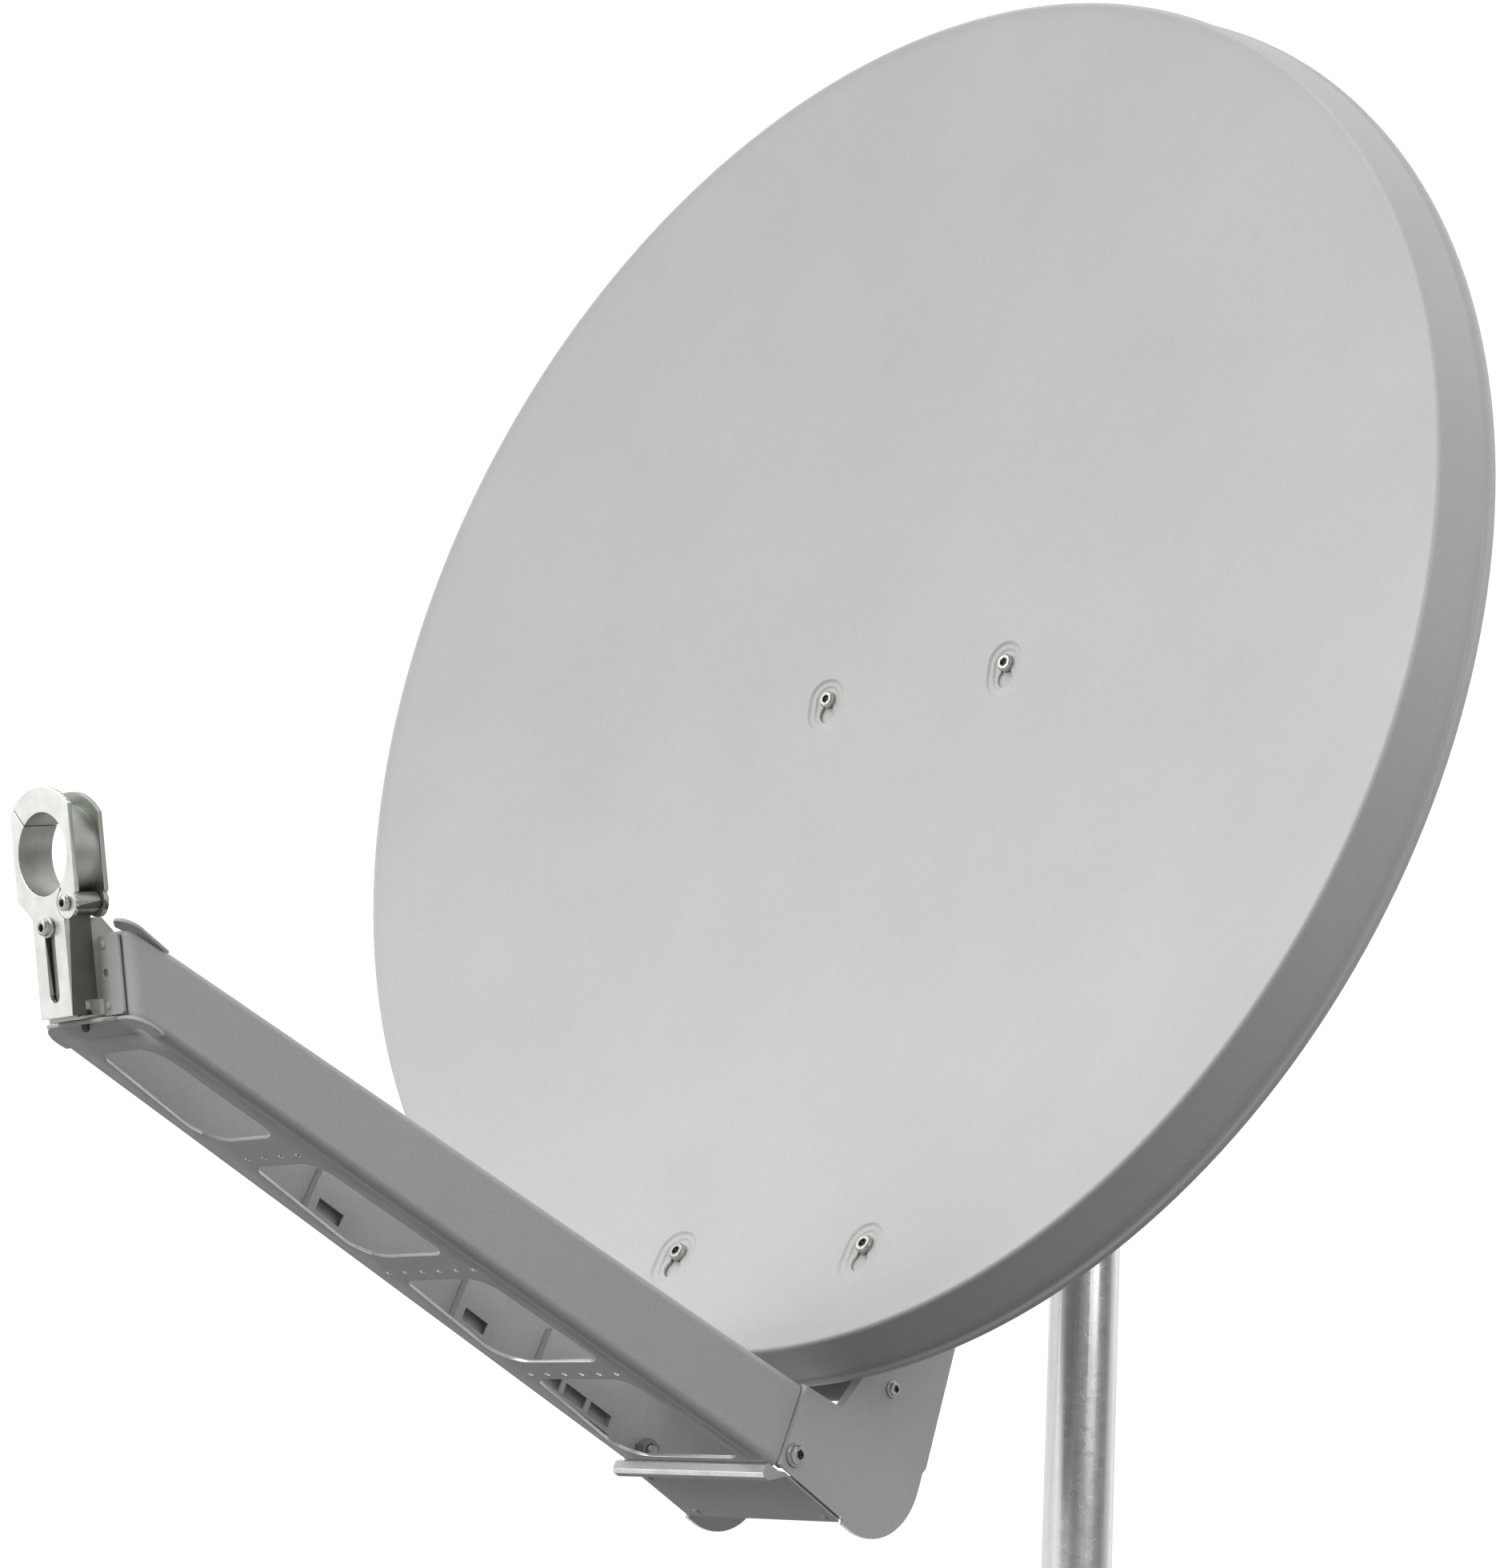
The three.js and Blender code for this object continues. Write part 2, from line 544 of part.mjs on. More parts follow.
// ---------------------------------------------------------------- side plates and floor
// A point on the plane of a cross bar's rear edges, `along` its height, seen from the rim centre.
function behindBar(up, along) {
  const lean = bowlLean(0, up) + FACE_TILT;
  const behind = BAR_STANDOFF + BAR_DEPTH + GAP;
  const seat = [bowlDepth(0, up), up];
  const centre = [
    seat[0] * Math.cos(FACE_TILT) + seat[1] * Math.sin(FACE_TILT),
    -seat[0] * Math.sin(FACE_TILT) + seat[1] * Math.cos(FACE_TILT),
  ];
  return [
    centre[0] + behind * Math.cos(lean) + along * Math.sin(lean),
    centre[1] - behind * Math.sin(lean) + along * Math.cos(lean),
  ];
}

const { upper: UPPER_BAR, lower: LOWER_BAR } = DISH_BOLT_HEIGHTS;
const BAR_GRIP = BAR_HALF_HEIGHT + 5;

const aroundPivot = (angle, radius) =>
  [PIVOT[0] - radius * Math.cos(angle), PIVOT[1] + radius * Math.sin(angle)];

// The arc that the lock bolt runs in, round the pivot.
function lockSlot() {
  const half = 4.6;
  const outline = new THREE.Shape();
  const centre = (angle) => aroundPivot(angle, LOCK_RADIUS);
  const first = LOCK_ANGLE - TILT_UP;
  const last = LOCK_ANGLE + TILT_DOWN;
  // angles of absarc run the other way round from LOCK_ANGLE, which is measured from -Y
  outline.absarc(...PIVOT, LOCK_RADIUS + half, Math.PI - first, Math.PI - last, true);
  outline.absarc(...centre(last), half, Math.PI - last, -last, true);
  outline.absarc(...PIVOT, LOCK_RADIUS - half, Math.PI - last, Math.PI - first, false);
  outline.absarc(...centre(first), half, -first, -first - Math.PI, true);
  outline.closePath();
  return outline;
}

function cheek() {
  const frontFoot = fromArm([CHEEK_EDGE, 2]);
  const frontTop = fromArm([CHEEK_EDGE, ARM_HEEL_HEIGHT - 1.5]);
  const outline = roundedOutline([
    frontFoot,
    FLOOR_REAR,
    [FLOOR_REAR[0] - 0.6, FLOOR_REAR[1] - 3],
    [28, -557.5, 42],
    [46, -502.5],
    [49, -499.5],
    [116, -285, 45],
    [214, -262, 27],
    [212, -196, 27],
    [136, -110, 30],
    [134, 26, 8],
    behindBar(UPPER_BAR, BAR_GRIP),
    behindBar(UPPER_BAR, -BAR_GRIP),
    behindBar(LOWER_BAR, BAR_GRIP),
    behindBar(LOWER_BAR, -BAR_GRIP),
    NOTCH[1],
    [...NOTCH[0], 2],
    frontTop,
  ]);
  // a folded edge behind the notch and another along the floor
  const edge = [behindBar(LOWER_BAR, -BAR_GRIP), NOTCH[1], [NOTCH[0][0] + 1, NOTCH[0][1] + 1]];
  const back = edge.map(([y, z]) => [y + PLATE, z - 0.6]).reverse();
  const fold = sidePlate(roundedOutline([...edge, ...back]), CHEEK_OUTER - 12, CHEEK_OUTER - 1);
  const floorFoot = [frontFoot[0] + 16, frontFoot[1] - 16 * 0.49];
  const floorEdge = [floorFoot, FLOOR_REAR];
  const floorTop = floorEdge.map(([y, z]) => [y, z + PLATE]).reverse();
  const floorFold = sidePlate(roundedOutline([...floorEdge, ...floorTop]), CHEEK_OUTER - 16, CHEEK_OUTER - 1);
  const plate = joined(sidePlate(outline, CHEEK_OUTER - PLATE, CHEEK_OUTER, 8), fold, floorFold);
  return toGeometry(cut(
    plate,
    rodAlongX(PIVOT_SHANK + GAP, 40, 80, ...PIVOT),
    sidePlate(lockSlot(), 40, 80, 6),
    rodAlongX(BOLT_HOLE, 40, 80, ...fromArm(ARM_BOLT), 14),
    rodAlongX(3.4, 40, 80, ...TIE_SCREW, 12),
  ));
}
addPart(rimFrame, 'side_plate_right', cheek(), armPaint());
addPart(rimFrame, 'side_plate_left', mirrored(cheek()), armPaint());

// Floor between the side plates; its rolled front lip runs under the arm's web.
function floorPlate() {
  const [frontY, frontZ] = fromArm([CHEEK_EDGE, 2]);
  const slope = (FLOOR_REAR[1] - frontZ) / (FLOOR_REAR[0] - frontY);
  const floorLine = (y, below) => [y, frontZ + slope * (y - frontY) - below];
  const top = 0.4;
  const under = top + SHEET;
  const lip = [
    [-7, -top],
    [-16, -top],
    [-18, -top - 2],
    [-18, 2 - FLOOR_LIP],
    [-16, -FLOOR_LIP],
    [-12, -FLOOR_LIP],
  ];
  const section = roundedOutline([
    ...lip.map(fromArm),
    floorLine(frontY + 8, under),
    floorLine(FLOOR_REAR[0] - 1.2, under),
    floorLine(FLOOR_REAR[0] - 1.2, top),
    floorLine(frontY + 7, top),
  ]);
  const half = CHEEK_OUTER - PLATE - GAP;
  return sidePlate(section, -half, half);
}
addPart(rimFrame, 'bracket_floor', floorPlate(), armPaint());

for (const [side, sign] of [['left', -1], ['right', 1]]) {
  const turn = [0, sign * -Math.PI / 2, 0];
  const armBoltHead = { head: 5.4, headHeight: 3.4, washer: 6.6, washerHeight: 1.2 };
  const armBolt = screw({ shank: BOLT_SHANK, length: 14, ...armBoltHead });
  const armBoltAt = [sign * (CHEEK_OUTER + GAP), ...fromArm(ARM_BOLT)];
  addPart(rimFrame, `arm_bolt_${side}`, armBolt, zinc(), { at: armBoltAt, turn });
  const armNutAt = [sign * (ARM_HEEL_HALF_WIDTH - SHEET - 2.5 * GAP), ...fromArm(ARM_BOLT)];
  addPart(rimFrame, `arm_nut_${side}`, boltNut(), zinc(), { at: armNutAt, turn });
  const rearScrew = screw({ shank: 3, length: 16, head: 4, headHeight: 2.4, washer: 5, washerHeight: 0.8 });
  const rearScrewAt = [sign * (CHEEK_OUTER + GAP), ...TIE_SCREW];
  addPart(rimFrame, `tie_screw_${side}`, rearScrew, zinc(), { at: rearScrewAt, turn });
}

// Spacer that holds the side plates apart.
function tieTube() {
  const half = CHEEK_OUTER - PLATE - GAP;
  const bore = rodAlongX(3.3, -THROUGH, THROUGH, ...TIE_SCREW, 12);
  return toGeometry(cut(toSolid(rodAlongX(7, -half, half, ...TIE_SCREW)), bore));
}
addPart(rimFrame, 'tie_tube', tieTube(), darkPaint());

// ---------------------------------------------------------------- yoke and elevation bolts
const YOKE_OUTER = CHEEK_OUTER - PLATE - 0.4;
const LOCK_BOLT = aroundPivot(LOCK_ANGLE, LOCK_RADIUS);

function yoke() {
  const side = roundedOutline([
    [122, -184, 10],
    [146, -160, 12],
    [200, YOKE_TOP, 20],
    [YOKE_WEB_REAR, YOKE_TOP],
    [YOKE_WEB_REAR, YOKE_BOTTOM],
    [208, YOKE_BOTTOM, 18],
    [150, -240, 30],
  ]);
  const web = rectangle(-YOKE_OUTER, YOKE_BOTTOM, YOKE_OUTER, YOKE_TOP);
  const body = joined(
    sidePlate(side, YOKE_OUTER - PLATE, YOKE_OUTER),
    sidePlate(side, -YOKE_OUTER, PLATE - YOKE_OUTER),
    frontPlate(web, YOKE_WEB_REAR - PLATE, YOKE_WEB_REAR),
  );
  const holes = Object.values(CLAMP_HEIGHTS).flatMap((z) =>
    [-1, 1].map((sign) => rodAlongY(BOLT_HOLE, 200, 260, sign * CLAMP_BOLT_X, z, 12)));
  holes.push(rodAlongX(PIVOT_SHANK + GAP, -THROUGH, THROUGH, ...PIVOT));
  holes.push(rodAlongX(BOLT_HOLE, -THROUGH, THROUGH, ...LOCK_BOLT));
  return toGeometry(cut(body, ...holes));
}
addPart(rimFrame, 'mast_yoke', yoke(), darkPaint());

const headSide = CHEEK_OUTER + GAP;
const SIDE_BOLTS = [['elevation_pivot', PIVOT_SHANK, PIVOT], ['elevation_lock', BOLT_SHANK, LOCK_BOLT]];
for (const [name, shank, place] of SIDE_BOLTS) {
  const shape = { shank, length: 2 * headSide + 14, head: shank * 1.7, headHeight: shank * 1.2 };
  const bolt = screw({ ...shape, washer: shank * 2.1, washerHeight: 1.6 });
  addPart(rimFrame, `${name}_bolt`, bolt, zinc(), { at: [headSide, ...place], turn: [0, -Math.PI / 2, 0] });
  const nutPlace = { at: [-headSide, ...place], turn: [0, -Math.PI / 2, 0] };
  addPart(rimFrame, `${name}_nut`, nut(shank, shank * 3.3, shank * 1.6), zinc(), nutPlace);
}

// ---------------------------------------------------------------- clamp round the mast
// A block with a toothed V that bites the mast; drawn for the rear, in (x, y) from the mast's axis.
function clampJaw() {
  const lean = 30 * DEGREE;
  const reach = (MAST_RADIUS + GAP) / Math.cos(lean); // depth of the V, were it sharp
  const teeth = 5;
  const mouth = 20;
  const step = (mouth - 5) / teeth;
  const half = [[0, reach - 1]];
  for (let i = 0; i < teeth; i++) {
    const x = 5 + i * step;
    half.push([x, reach - x * Math.tan(lean)], [x + 0.5, reach + 1.3 - x * Math.tan(lean)]);
  }
  half.push([mouth, reach - mouth * Math.tan(lean)], [26, 20], [44, 20], [44, JAW_BACK - 5], [26, JAW_BACK]);
  const other = half.slice(1).reverse().map(([x, y]) => [-x, y]);
  const outline = roundedOutline([...half, ...other]);
  const holes = [-1, 1].map((sign) => rodAlongY(BOLT_HOLE, 0, 60, sign * CLAMP_BOLT_X, 0, 12));
  return toGeometry(cut(toSolid(flatPlate(outline, -JAW_HALF_HEIGHT, JAW_HALF_HEIGHT)), ...holes));
}

for (const [place, z] of Object.entries(CLAMP_HEIGHTS)) {
  const atMast = [0, RIM_REACH, z];
  addPart(rimFrame, `clamp_saddle_${place}`, clampJaw(), zinc(), { at: atMast, turn: [0, 0, Math.PI] });
  addPart(rimFrame, `clamp_jaw_${place}`, clampJaw(), zinc(), { at: atMast });
  for (const [side, sign] of [['left', -1], ['right', 1]]) {
    const bolt = screw({ shank: BOLT_SHANK, length: 92, head: 6.5, headHeight: 5.3 });
    const boltAt = [sign * CLAMP_BOLT_X, YOKE_WEB_REAR - PLATE - GAP, z];
    addPart(rimFrame, `clamp_bolt_${place}_${side}`, bolt, zinc(), { at: boltAt, turn: FACING_BACK });
    const nutAt = [sign * CLAMP_BOLT_X, RIM_REACH + JAW_BACK + GAP, z];
    addPart(rimFrame, `clamp_nut_${place}_${side}`, boltNut(), zinc(), { at: nutAt, turn: FACING_BACK });
  }
}

// ---------------------------------------------------------------- feed bracket at the arm's nose
function feedBracket() {
  const wall = roundedOutline([
    [3, FOOT_TOP - 0.5], [8, FOOT_TOP - 0.5], [8, -71], [26, -71], [26, FOOT_TOP - 0.5], [31, FOOT_TOP - 0.5],
    [31, -41, 2], [23, BRACKET_TOP, 2], [3, BRACKET_TOP],
  ]);
  const bracket = joined(
    frontPlate(rectangle(-BRACKET_HALF, FOOT_TOP - 0.5, BRACKET_HALF, BRACKET_TOP), 3, 5),
    sidePlate(wall, BRACKET_HALF - SHEET, BRACKET_HALF),
    sidePlate(wall, -BRACKET_HALF, SHEET - BRACKET_HALF),
    flatPlate(rectangle(-13.5, 4.5, 13.5, 31), FOOT_TOP - FOOT_SHEET, FOOT_TOP),
  );
  const slideHole = rodAlongY(2.9, 0, 10, 0, SLIDE_SCREW_Z, 12);
  const footHole = new THREE.CylinderGeometry(2.4, 2.4, 10, 12).rotateX(Math.PI / 2);
  return toGeometry(cut(bracket, slideHole, footHole.translate(0, FOOT_SCREW_Y, FOOT_TOP)));
}
addPart(ringFrame, 'feed_bracket', feedBracket(), castMetal());

const footScrew = screw({ shank: 2, length: 8, head: 3.8, headHeight: 3 });
const footScrewPlace = { at: [0, FOOT_SCREW_Y, FOOT_TOP + GAP], turn: [Math.PI, 0, 0] };
addPart(ringFrame, 'foot_screw', footScrew, zinc(), footScrewPlace);

// Strips on the nose's two front faces.
function noseStrip(sign) {
  const outline = roundedOutline([[15, -79.8, 1.5], [31, -79.4, 1.5], [31, -41.5, 1.5], [15, -41.5, 1.5]]
    .map(([x, z, radius]) => [sign * x, z, radius]));
  const hole = rodAlongY(2, 0, 40, sign * 19, -59.5, 10);
  return toGeometry(cut(toSolid(frontPlate(outline, STRIP_FRONT, STRIP_FRONT + 1.5, 3)), hole));
}
addPart(ringFrame, 'nose_strip_left', noseStrip(-1), armPaint());
addPart(ringFrame, 'nose_strip_right', noseStrip(1), armPaint());

// ---------------------------------------------------------------- clamp ring for the receiver
// Outline of a face plate: an arched head, straight sides, and shoulders down to a foot.
function ringFace(crown, foot, footHalf) {
  const side = 24;
  const shoulder = Math.sqrt(crown ** 2 - side ** 2);
  const crownAngle = Math.atan2(shoulder, side);
  const face = new THREE.Shape();
  face.moveTo(side, shoulder);
  face.absarc(0, 0, crown, crownAngle, Math.PI - crownAngle);
  face.lineTo(-side, -20);
  face.lineTo(-footHalf, -30);
  face.lineTo(-footHalf, foot);
  face.lineTo(footHalf, foot);
  face.lineTo(footHalf, -30);
  face.lineTo(side, -20);
  face.closePath();
  return face;
}

// Front plate, ring wall and rear plate in one, before the ring is split into stem and cap.
function wholeRing() {
  return joined(
    frontPlate(ringFace(32.3, STEM_BOTTOM, STEM_HALF_WIDTH), 0, RING_PLATE, 12),
    rodAlongY(RING_OUTER, RING_PLATE - 0.5, REAR_PLATE + 0.5, 0, 0, 40),
    frontPlate(ringFace(29.5, -31, STEM_HALF_WIDTH), REAR_PLATE, RING_LENGTH, 12),
  );
}

// The part of the ring that swings with the cap: a wedge between the two splits, and the hinge's lobe.
function capZone(slack) {
  const far = 70;
  const toSplit = [far * Math.cos(SPLIT_ANGLE), far * Math.sin(SPLIT_ANGLE)];
  const toHinge = [far * Math.cos(HINGE_SPLIT), far * Math.sin(HINGE_SPLIT)];
  const shift = [-Math.sin(SPLIT_ANGLE) * slack, Math.cos(SPLIT_ANGLE) * slack];
  const drop = [-Math.sin(HINGE_SPLIT) * slack, -Math.cos(HINGE_SPLIT) * slack];
  const wedge = roundedOutline([
    [shift[0] - drop[0], shift[1] + drop[1]],
    [toHinge[0] - drop[0], toHinge[1] + drop[1]],
    [far, far],
    [toSplit[0] + shift[0], toSplit[1] + shift[1]],
  ]);
  return joined(frontPlate(wedge, -5, 40), rodAlongY(LOBE + slack, -5, 40, ...HINGE, 20));
}

const ringBore = () => rodAlongY(RING_BORE, -10, 40, 0, 0, 40);
const hingeHole = () => rodAlongY(2.3, -10, 40, ...HINGE, 12);
const barrelRoom = (slack) =>
  rodAlongY(5 + slack, RING_PLATE + GAP - slack, REAR_PLATE - GAP + slack, ...HINGE, 16);
// lugs for the lock screw, outside the ring on each side of the split; `side` is +1 on the cap
function lockLug(side) {
  const lug = new THREE.BoxGeometry(10, 11, 4).translate(RING_OUTER + 3.5, 9.5, -side * 2.5);
  return lug.rotateY(-SPLIT_ANGLE);
}
const lockHole = (radius) =>
  new THREE.CylinderGeometry(radius, radius, 30, 12).rotateX(Math.PI / 2)
    .translate(RING_OUTER + 4.2, 9.5, 0).rotateY(-SPLIT_ANGLE);

function ringStem() {
  const flange = rectangle(0, STEM_BOTTOM, 15, -29);
  const notch = rectangle(8, STEM_BOTTOM - 1, 16, -71);
  const slot = rectangle(-4, SLIDE_SCREW_Z - SLIDE_TRAVEL - 4, 4, SLIDE_SCREW_Z + 4, 3.9);
  let stem = cut(wholeRing(), toGeometry(capZone(0.4)), ringBore());
  stem = stem.add(toSolid(barrelRoom(0)));
  stem = stem.add(toSolid(frontPlate(rectangle(0, -29, 14, -21.5), RING_PLATE + GAP, REAR_PLATE - GAP)));
  stem = stem.add(toSolid(lockLug(-1)));
  for (const side of [-1, 1]) {
    const low = side > 0 ? STEM_HALF_WIDTH - SHEET : -STEM_HALF_WIDTH;
    stem = stem.add(toSolid(sidePlate(flange, low, low + SHEET)));
    stem = cut(stem, sidePlate(notch, low - 1, low + SHEET + 1));
  }
  const lobeRoom = [[-1, RING_PLATE + GAP], [REAR_PLATE - GAP, RING_LENGTH + 1]]
    .map(([front, back]) => rodAlongY(LOBE + 0.4, front, back, ...HINGE, 20));
  stem = cut(stem, frontPlate(slot, -5, 5, 4), ...lobeRoom);
  return toGeometry(cut(stem, ringBore(), hingeHole(), lockHole(3.2)));
}
addPart(ringFrame, 'ring_stem', ringStem(), brightMetal());

function ringCap() {
  const lobes = joined(
    rodAlongY(LOBE, 0, RING_PLATE, ...HINGE, 20),
    rodAlongY(LOBE, REAR_PLATE, RING_LENGTH, ...HINGE, 20),
  );
  const cap = wholeRing().add(lobes).intersect(capZone(0)).add(toSolid(lockLug(1)));
  return toGeometry(cut(cap, ringBore(), hingeHole(), lockHole(2.4), barrelRoom(0.4)));
}
addPart(ringFrame, 'ring_cap', ringCap(), brightMetal());

const hingeScrew = screw({ shank: 2, length: RING_LENGTH + 3.4, head: 3.8, headHeight: 2.4 });
const hingeScrewPlace = { at: [HINGE[0], -GAP, HINGE[1]], turn: FACING_BACK };
addPart(ringFrame, 'ring_hinge_screw', hingeScrew, zinc(), hingeScrewPlace);
const hingeNutPlace = { at: [HINGE[0], RING_LENGTH + GAP, HINGE[1]], turn: FACING_BACK };
addPart(ringFrame, 'ring_hinge_nut', nut(2, 6, 2), zinc(), hingeNutPlace);

// The lock screw sits in the cap's lug and reaches into the stem's.
function lockScrew() {
  const geometry = screw({ shank: 2, length: 8.5, head: 3.6, headHeight: 3 });
  return geometry.translate(RING_OUTER + 4.2, 9.5, -4.5 - GAP).rotateY(-SPLIT_ANGLE);
}
addPart(ringFrame, 'ring_lock_screw', lockScrew(), zinc());

const slideScrew = screw({ shank: 2.5, length: 13, head: 4, headHeight: 3, washer: 5, washerHeight: 1.2 });
addPart(ringFrame, 'slide_screw', slideScrew, zinc(), { at: [0, -GAP, SLIDE_SCREW_Z], turn: FACING_BACK });
const slideNutPlace = { at: [0, 5 + GAP, SLIDE_SCREW_Z], turn: FACING_BACK };
addPart(ringFrame, 'slide_nut', nut(2.5, 8, 4), zinc(), slideNutPlace);

export default dish;
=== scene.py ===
"""Looks of the offset satellite dish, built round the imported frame."""
import json
import math

import bmesh
import bpy
import numpy as np
from mathutils import Euler, Matrix, Vector

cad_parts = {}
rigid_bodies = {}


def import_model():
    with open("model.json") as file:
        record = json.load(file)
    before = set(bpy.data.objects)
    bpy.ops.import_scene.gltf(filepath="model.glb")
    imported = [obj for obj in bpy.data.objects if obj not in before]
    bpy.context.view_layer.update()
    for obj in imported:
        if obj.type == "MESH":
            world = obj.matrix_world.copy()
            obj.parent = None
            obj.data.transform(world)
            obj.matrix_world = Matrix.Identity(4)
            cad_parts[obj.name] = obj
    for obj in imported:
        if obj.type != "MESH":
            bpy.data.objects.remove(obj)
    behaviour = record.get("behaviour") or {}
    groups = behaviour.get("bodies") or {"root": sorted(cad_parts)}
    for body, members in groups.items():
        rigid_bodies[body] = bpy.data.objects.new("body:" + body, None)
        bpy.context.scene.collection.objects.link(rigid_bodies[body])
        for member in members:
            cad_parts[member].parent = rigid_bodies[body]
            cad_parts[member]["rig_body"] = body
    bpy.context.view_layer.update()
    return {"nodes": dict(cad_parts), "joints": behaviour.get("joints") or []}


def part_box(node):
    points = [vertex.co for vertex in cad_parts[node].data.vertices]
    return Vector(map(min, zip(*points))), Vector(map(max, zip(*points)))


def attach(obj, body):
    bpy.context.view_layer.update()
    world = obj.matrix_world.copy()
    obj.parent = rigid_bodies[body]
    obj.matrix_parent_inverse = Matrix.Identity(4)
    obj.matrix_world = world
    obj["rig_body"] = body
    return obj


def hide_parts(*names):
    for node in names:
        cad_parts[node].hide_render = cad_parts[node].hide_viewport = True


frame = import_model()

# ------------------------------------------------------------ places
# Shapes are drawn in millimetres in the frame of the part they belong to, and placed by these matrices.
MM = 0.001
JOINTS = {joint["name"]: joint for joint in frame["joints"]}


def turned(angle):
    """Rotation about X, in radians."""
    return Matrix.Rotation(angle, 4, "X")


PIVOT_AT = (185, -230)  # (y, z) of the elevation pivot, seen from the rim's centre
RIM_CENTRE = Vector(JOINTS["elevation"]["pos_m"]) - Vector((0, *PIVOT_AT)) * MM
RIM = Matrix.Translation(RIM_CENTRE) @ Matrix.Scale(MM, 4)

FACE_TILT = math.radians(7.6)
FACE = RIM @ turned(-FACE_TILT)

ARM_PITCH = math.radians(22.4)
ARM_HEEL_AT = (-66, -510.5)
ARM = RIM @ Matrix.Translation((0, *ARM_HEEL_AT)) @ turned(-ARM_PITCH)

slide_axis = Vector(JOINTS["holder_slide"]["axis"])
RING_PITCH = math.atan2(-slide_axis.y, slide_axis.z)
RING_HINGE = (16, -25)
ring_origin = Matrix.Translation(JOINTS["clamp_hinge"]["pos_m"]) @ Matrix.Scale(MM, 4)
RING = ring_origin @ turned(RING_PITCH) @ Matrix.Translation((-RING_HINGE[0], 0, -RING_HINGE[1]))


# ------------------------------------------------------------ mesh helpers
def finish_mesh(name, mesh, body, material, nodes=(), bevel=0.0, segments=2, angle=30):
    """Makes the object, rounds its sharp edges by bevel mm, and puts it on its body."""
    item = bpy.data.objects.new(name, mesh)
    bpy.context.scene.collection.objects.link(item)
    mesh.materials.clear()
    mesh.materials.append(material)
    mesh.shade_smooth()
    if bevel:
        rounding = item.modifiers.new("rounding", "BEVEL")
        rounding.width = bevel * MM
        rounding.segments = segments
        rounding.limit_method = "ANGLE"
        rounding.angle_limit = math.radians(angle)
        rounding.use_clamp_overlap = False
        item.modifiers.new("flat_faces", "WEIGHTED_NORMAL")
    else:
        mesh.set_sharp_from_angle(angle=math.radians(angle))
    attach(item, body)
    if nodes:
        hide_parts(*nodes)
    return item


def refined(node, material, bevel=0.5, segments=2):
    """The CAD node's shape with its flat faces merged, split again evenly, and its edges rounded."""
    source = frame["nodes"][node]
    shape = bmesh.new()
    shape.from_mesh(source.data)
    bmesh.ops.remove_doubles(shape, verts=shape.verts, dist=0.06 * MM)
    bmesh.ops.dissolve_limit(
        shape, angle_limit=math.radians(2), verts=shape.verts, edges=shape.edges)
    bmesh.ops.triangulate(shape, faces=shape.faces, ngon_method="EAR_CLIP")
    mesh = bpy.data.meshes.new(node + "_fine")
    shape.to_mesh(mesh)
    shape.free()
    return finish_mesh(node + "_fine", mesh, source["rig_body"], material, [node], bevel, segments)


def from_grid(rows, close_rows=True, close_columns=True):
    """Faces of a grid of points; rows and columns can each run round and meet."""
    count, width = len(rows), len(rows[0])
    points = [tuple(point) for row in rows for point in row]
    faces = []
    for i in range(count if close_rows else count - 1):
        for j in range(width if close_columns else width - 1):
            a, b = i * width + j, i * width + (j + 1) % width
            c, d = ((i + 1) % count) * width + (j + 1) % width, ((i + 1) % count) * width + j
            faces.append((a, b, c, d))
    return points, faces


def capped(rows):
    """Rings of points joined into a tube and closed at both ends."""
    points, faces = from_grid(rows, close_rows=False)
    width = len(rows[0])
    faces += [tuple(range(width)), tuple(range(len(points) - width, len(points)))]
    return points, faces


def solid_mesh(name, points, faces, place):
    """A mesh with welded points and faces that point outwards."""
    mesh = bpy.data.meshes.new(name)
    mesh.from_pydata(points, [], faces)
    shape = bmesh.new()
    shape.from_mesh(mesh)
    bmesh.ops.remove_doubles(shape, verts=shape.verts, dist=1e-4)
    bmesh.ops.recalc_face_normals(shape, faces=shape.faces)
    shape.to_mesh(mesh)
    shape.free()
    mesh.transform(place)
    return mesh


def rounded(corners, steps=8):
    """Points round an outline of corners (x, y, radius)."""
    points = []
    count = len(corners)
    for i, (x, y, radius) in enumerate(corners):
        here = Vector((x, y))
        before = (Vector(corners[i - 1][:2]) - here).normalized()
        after = (Vector(corners[(i + 1) % count][:2]) - here).normalized()
        if radius == 0:
            points.append(here)
            continue
        half = math.acos(max(-1, min(1, before.dot(after)))) / 2
        centre = here + (before + after).normalized() * radius / math.sin(half)
        start = here + before * radius / math.tan(half) - centre
        end = here + after * radius / math.tan(half) - centre
        turn = start.angle_signed(end)
        for step in range(steps + 1):
            spoke = start.copy()
            spoke.rotate(Matrix.Rotation(-turn * step / steps, 2))
            points.append(centre + spoke)
    return points


def circle(x, y, radius, sides=24):
    """Points round a circle."""
    angles = [2 * math.pi * i / sides for i in range(sides)]
    return [Vector((x + radius * math.cos(a), y + radius * math.sin(a))) for a in angles]


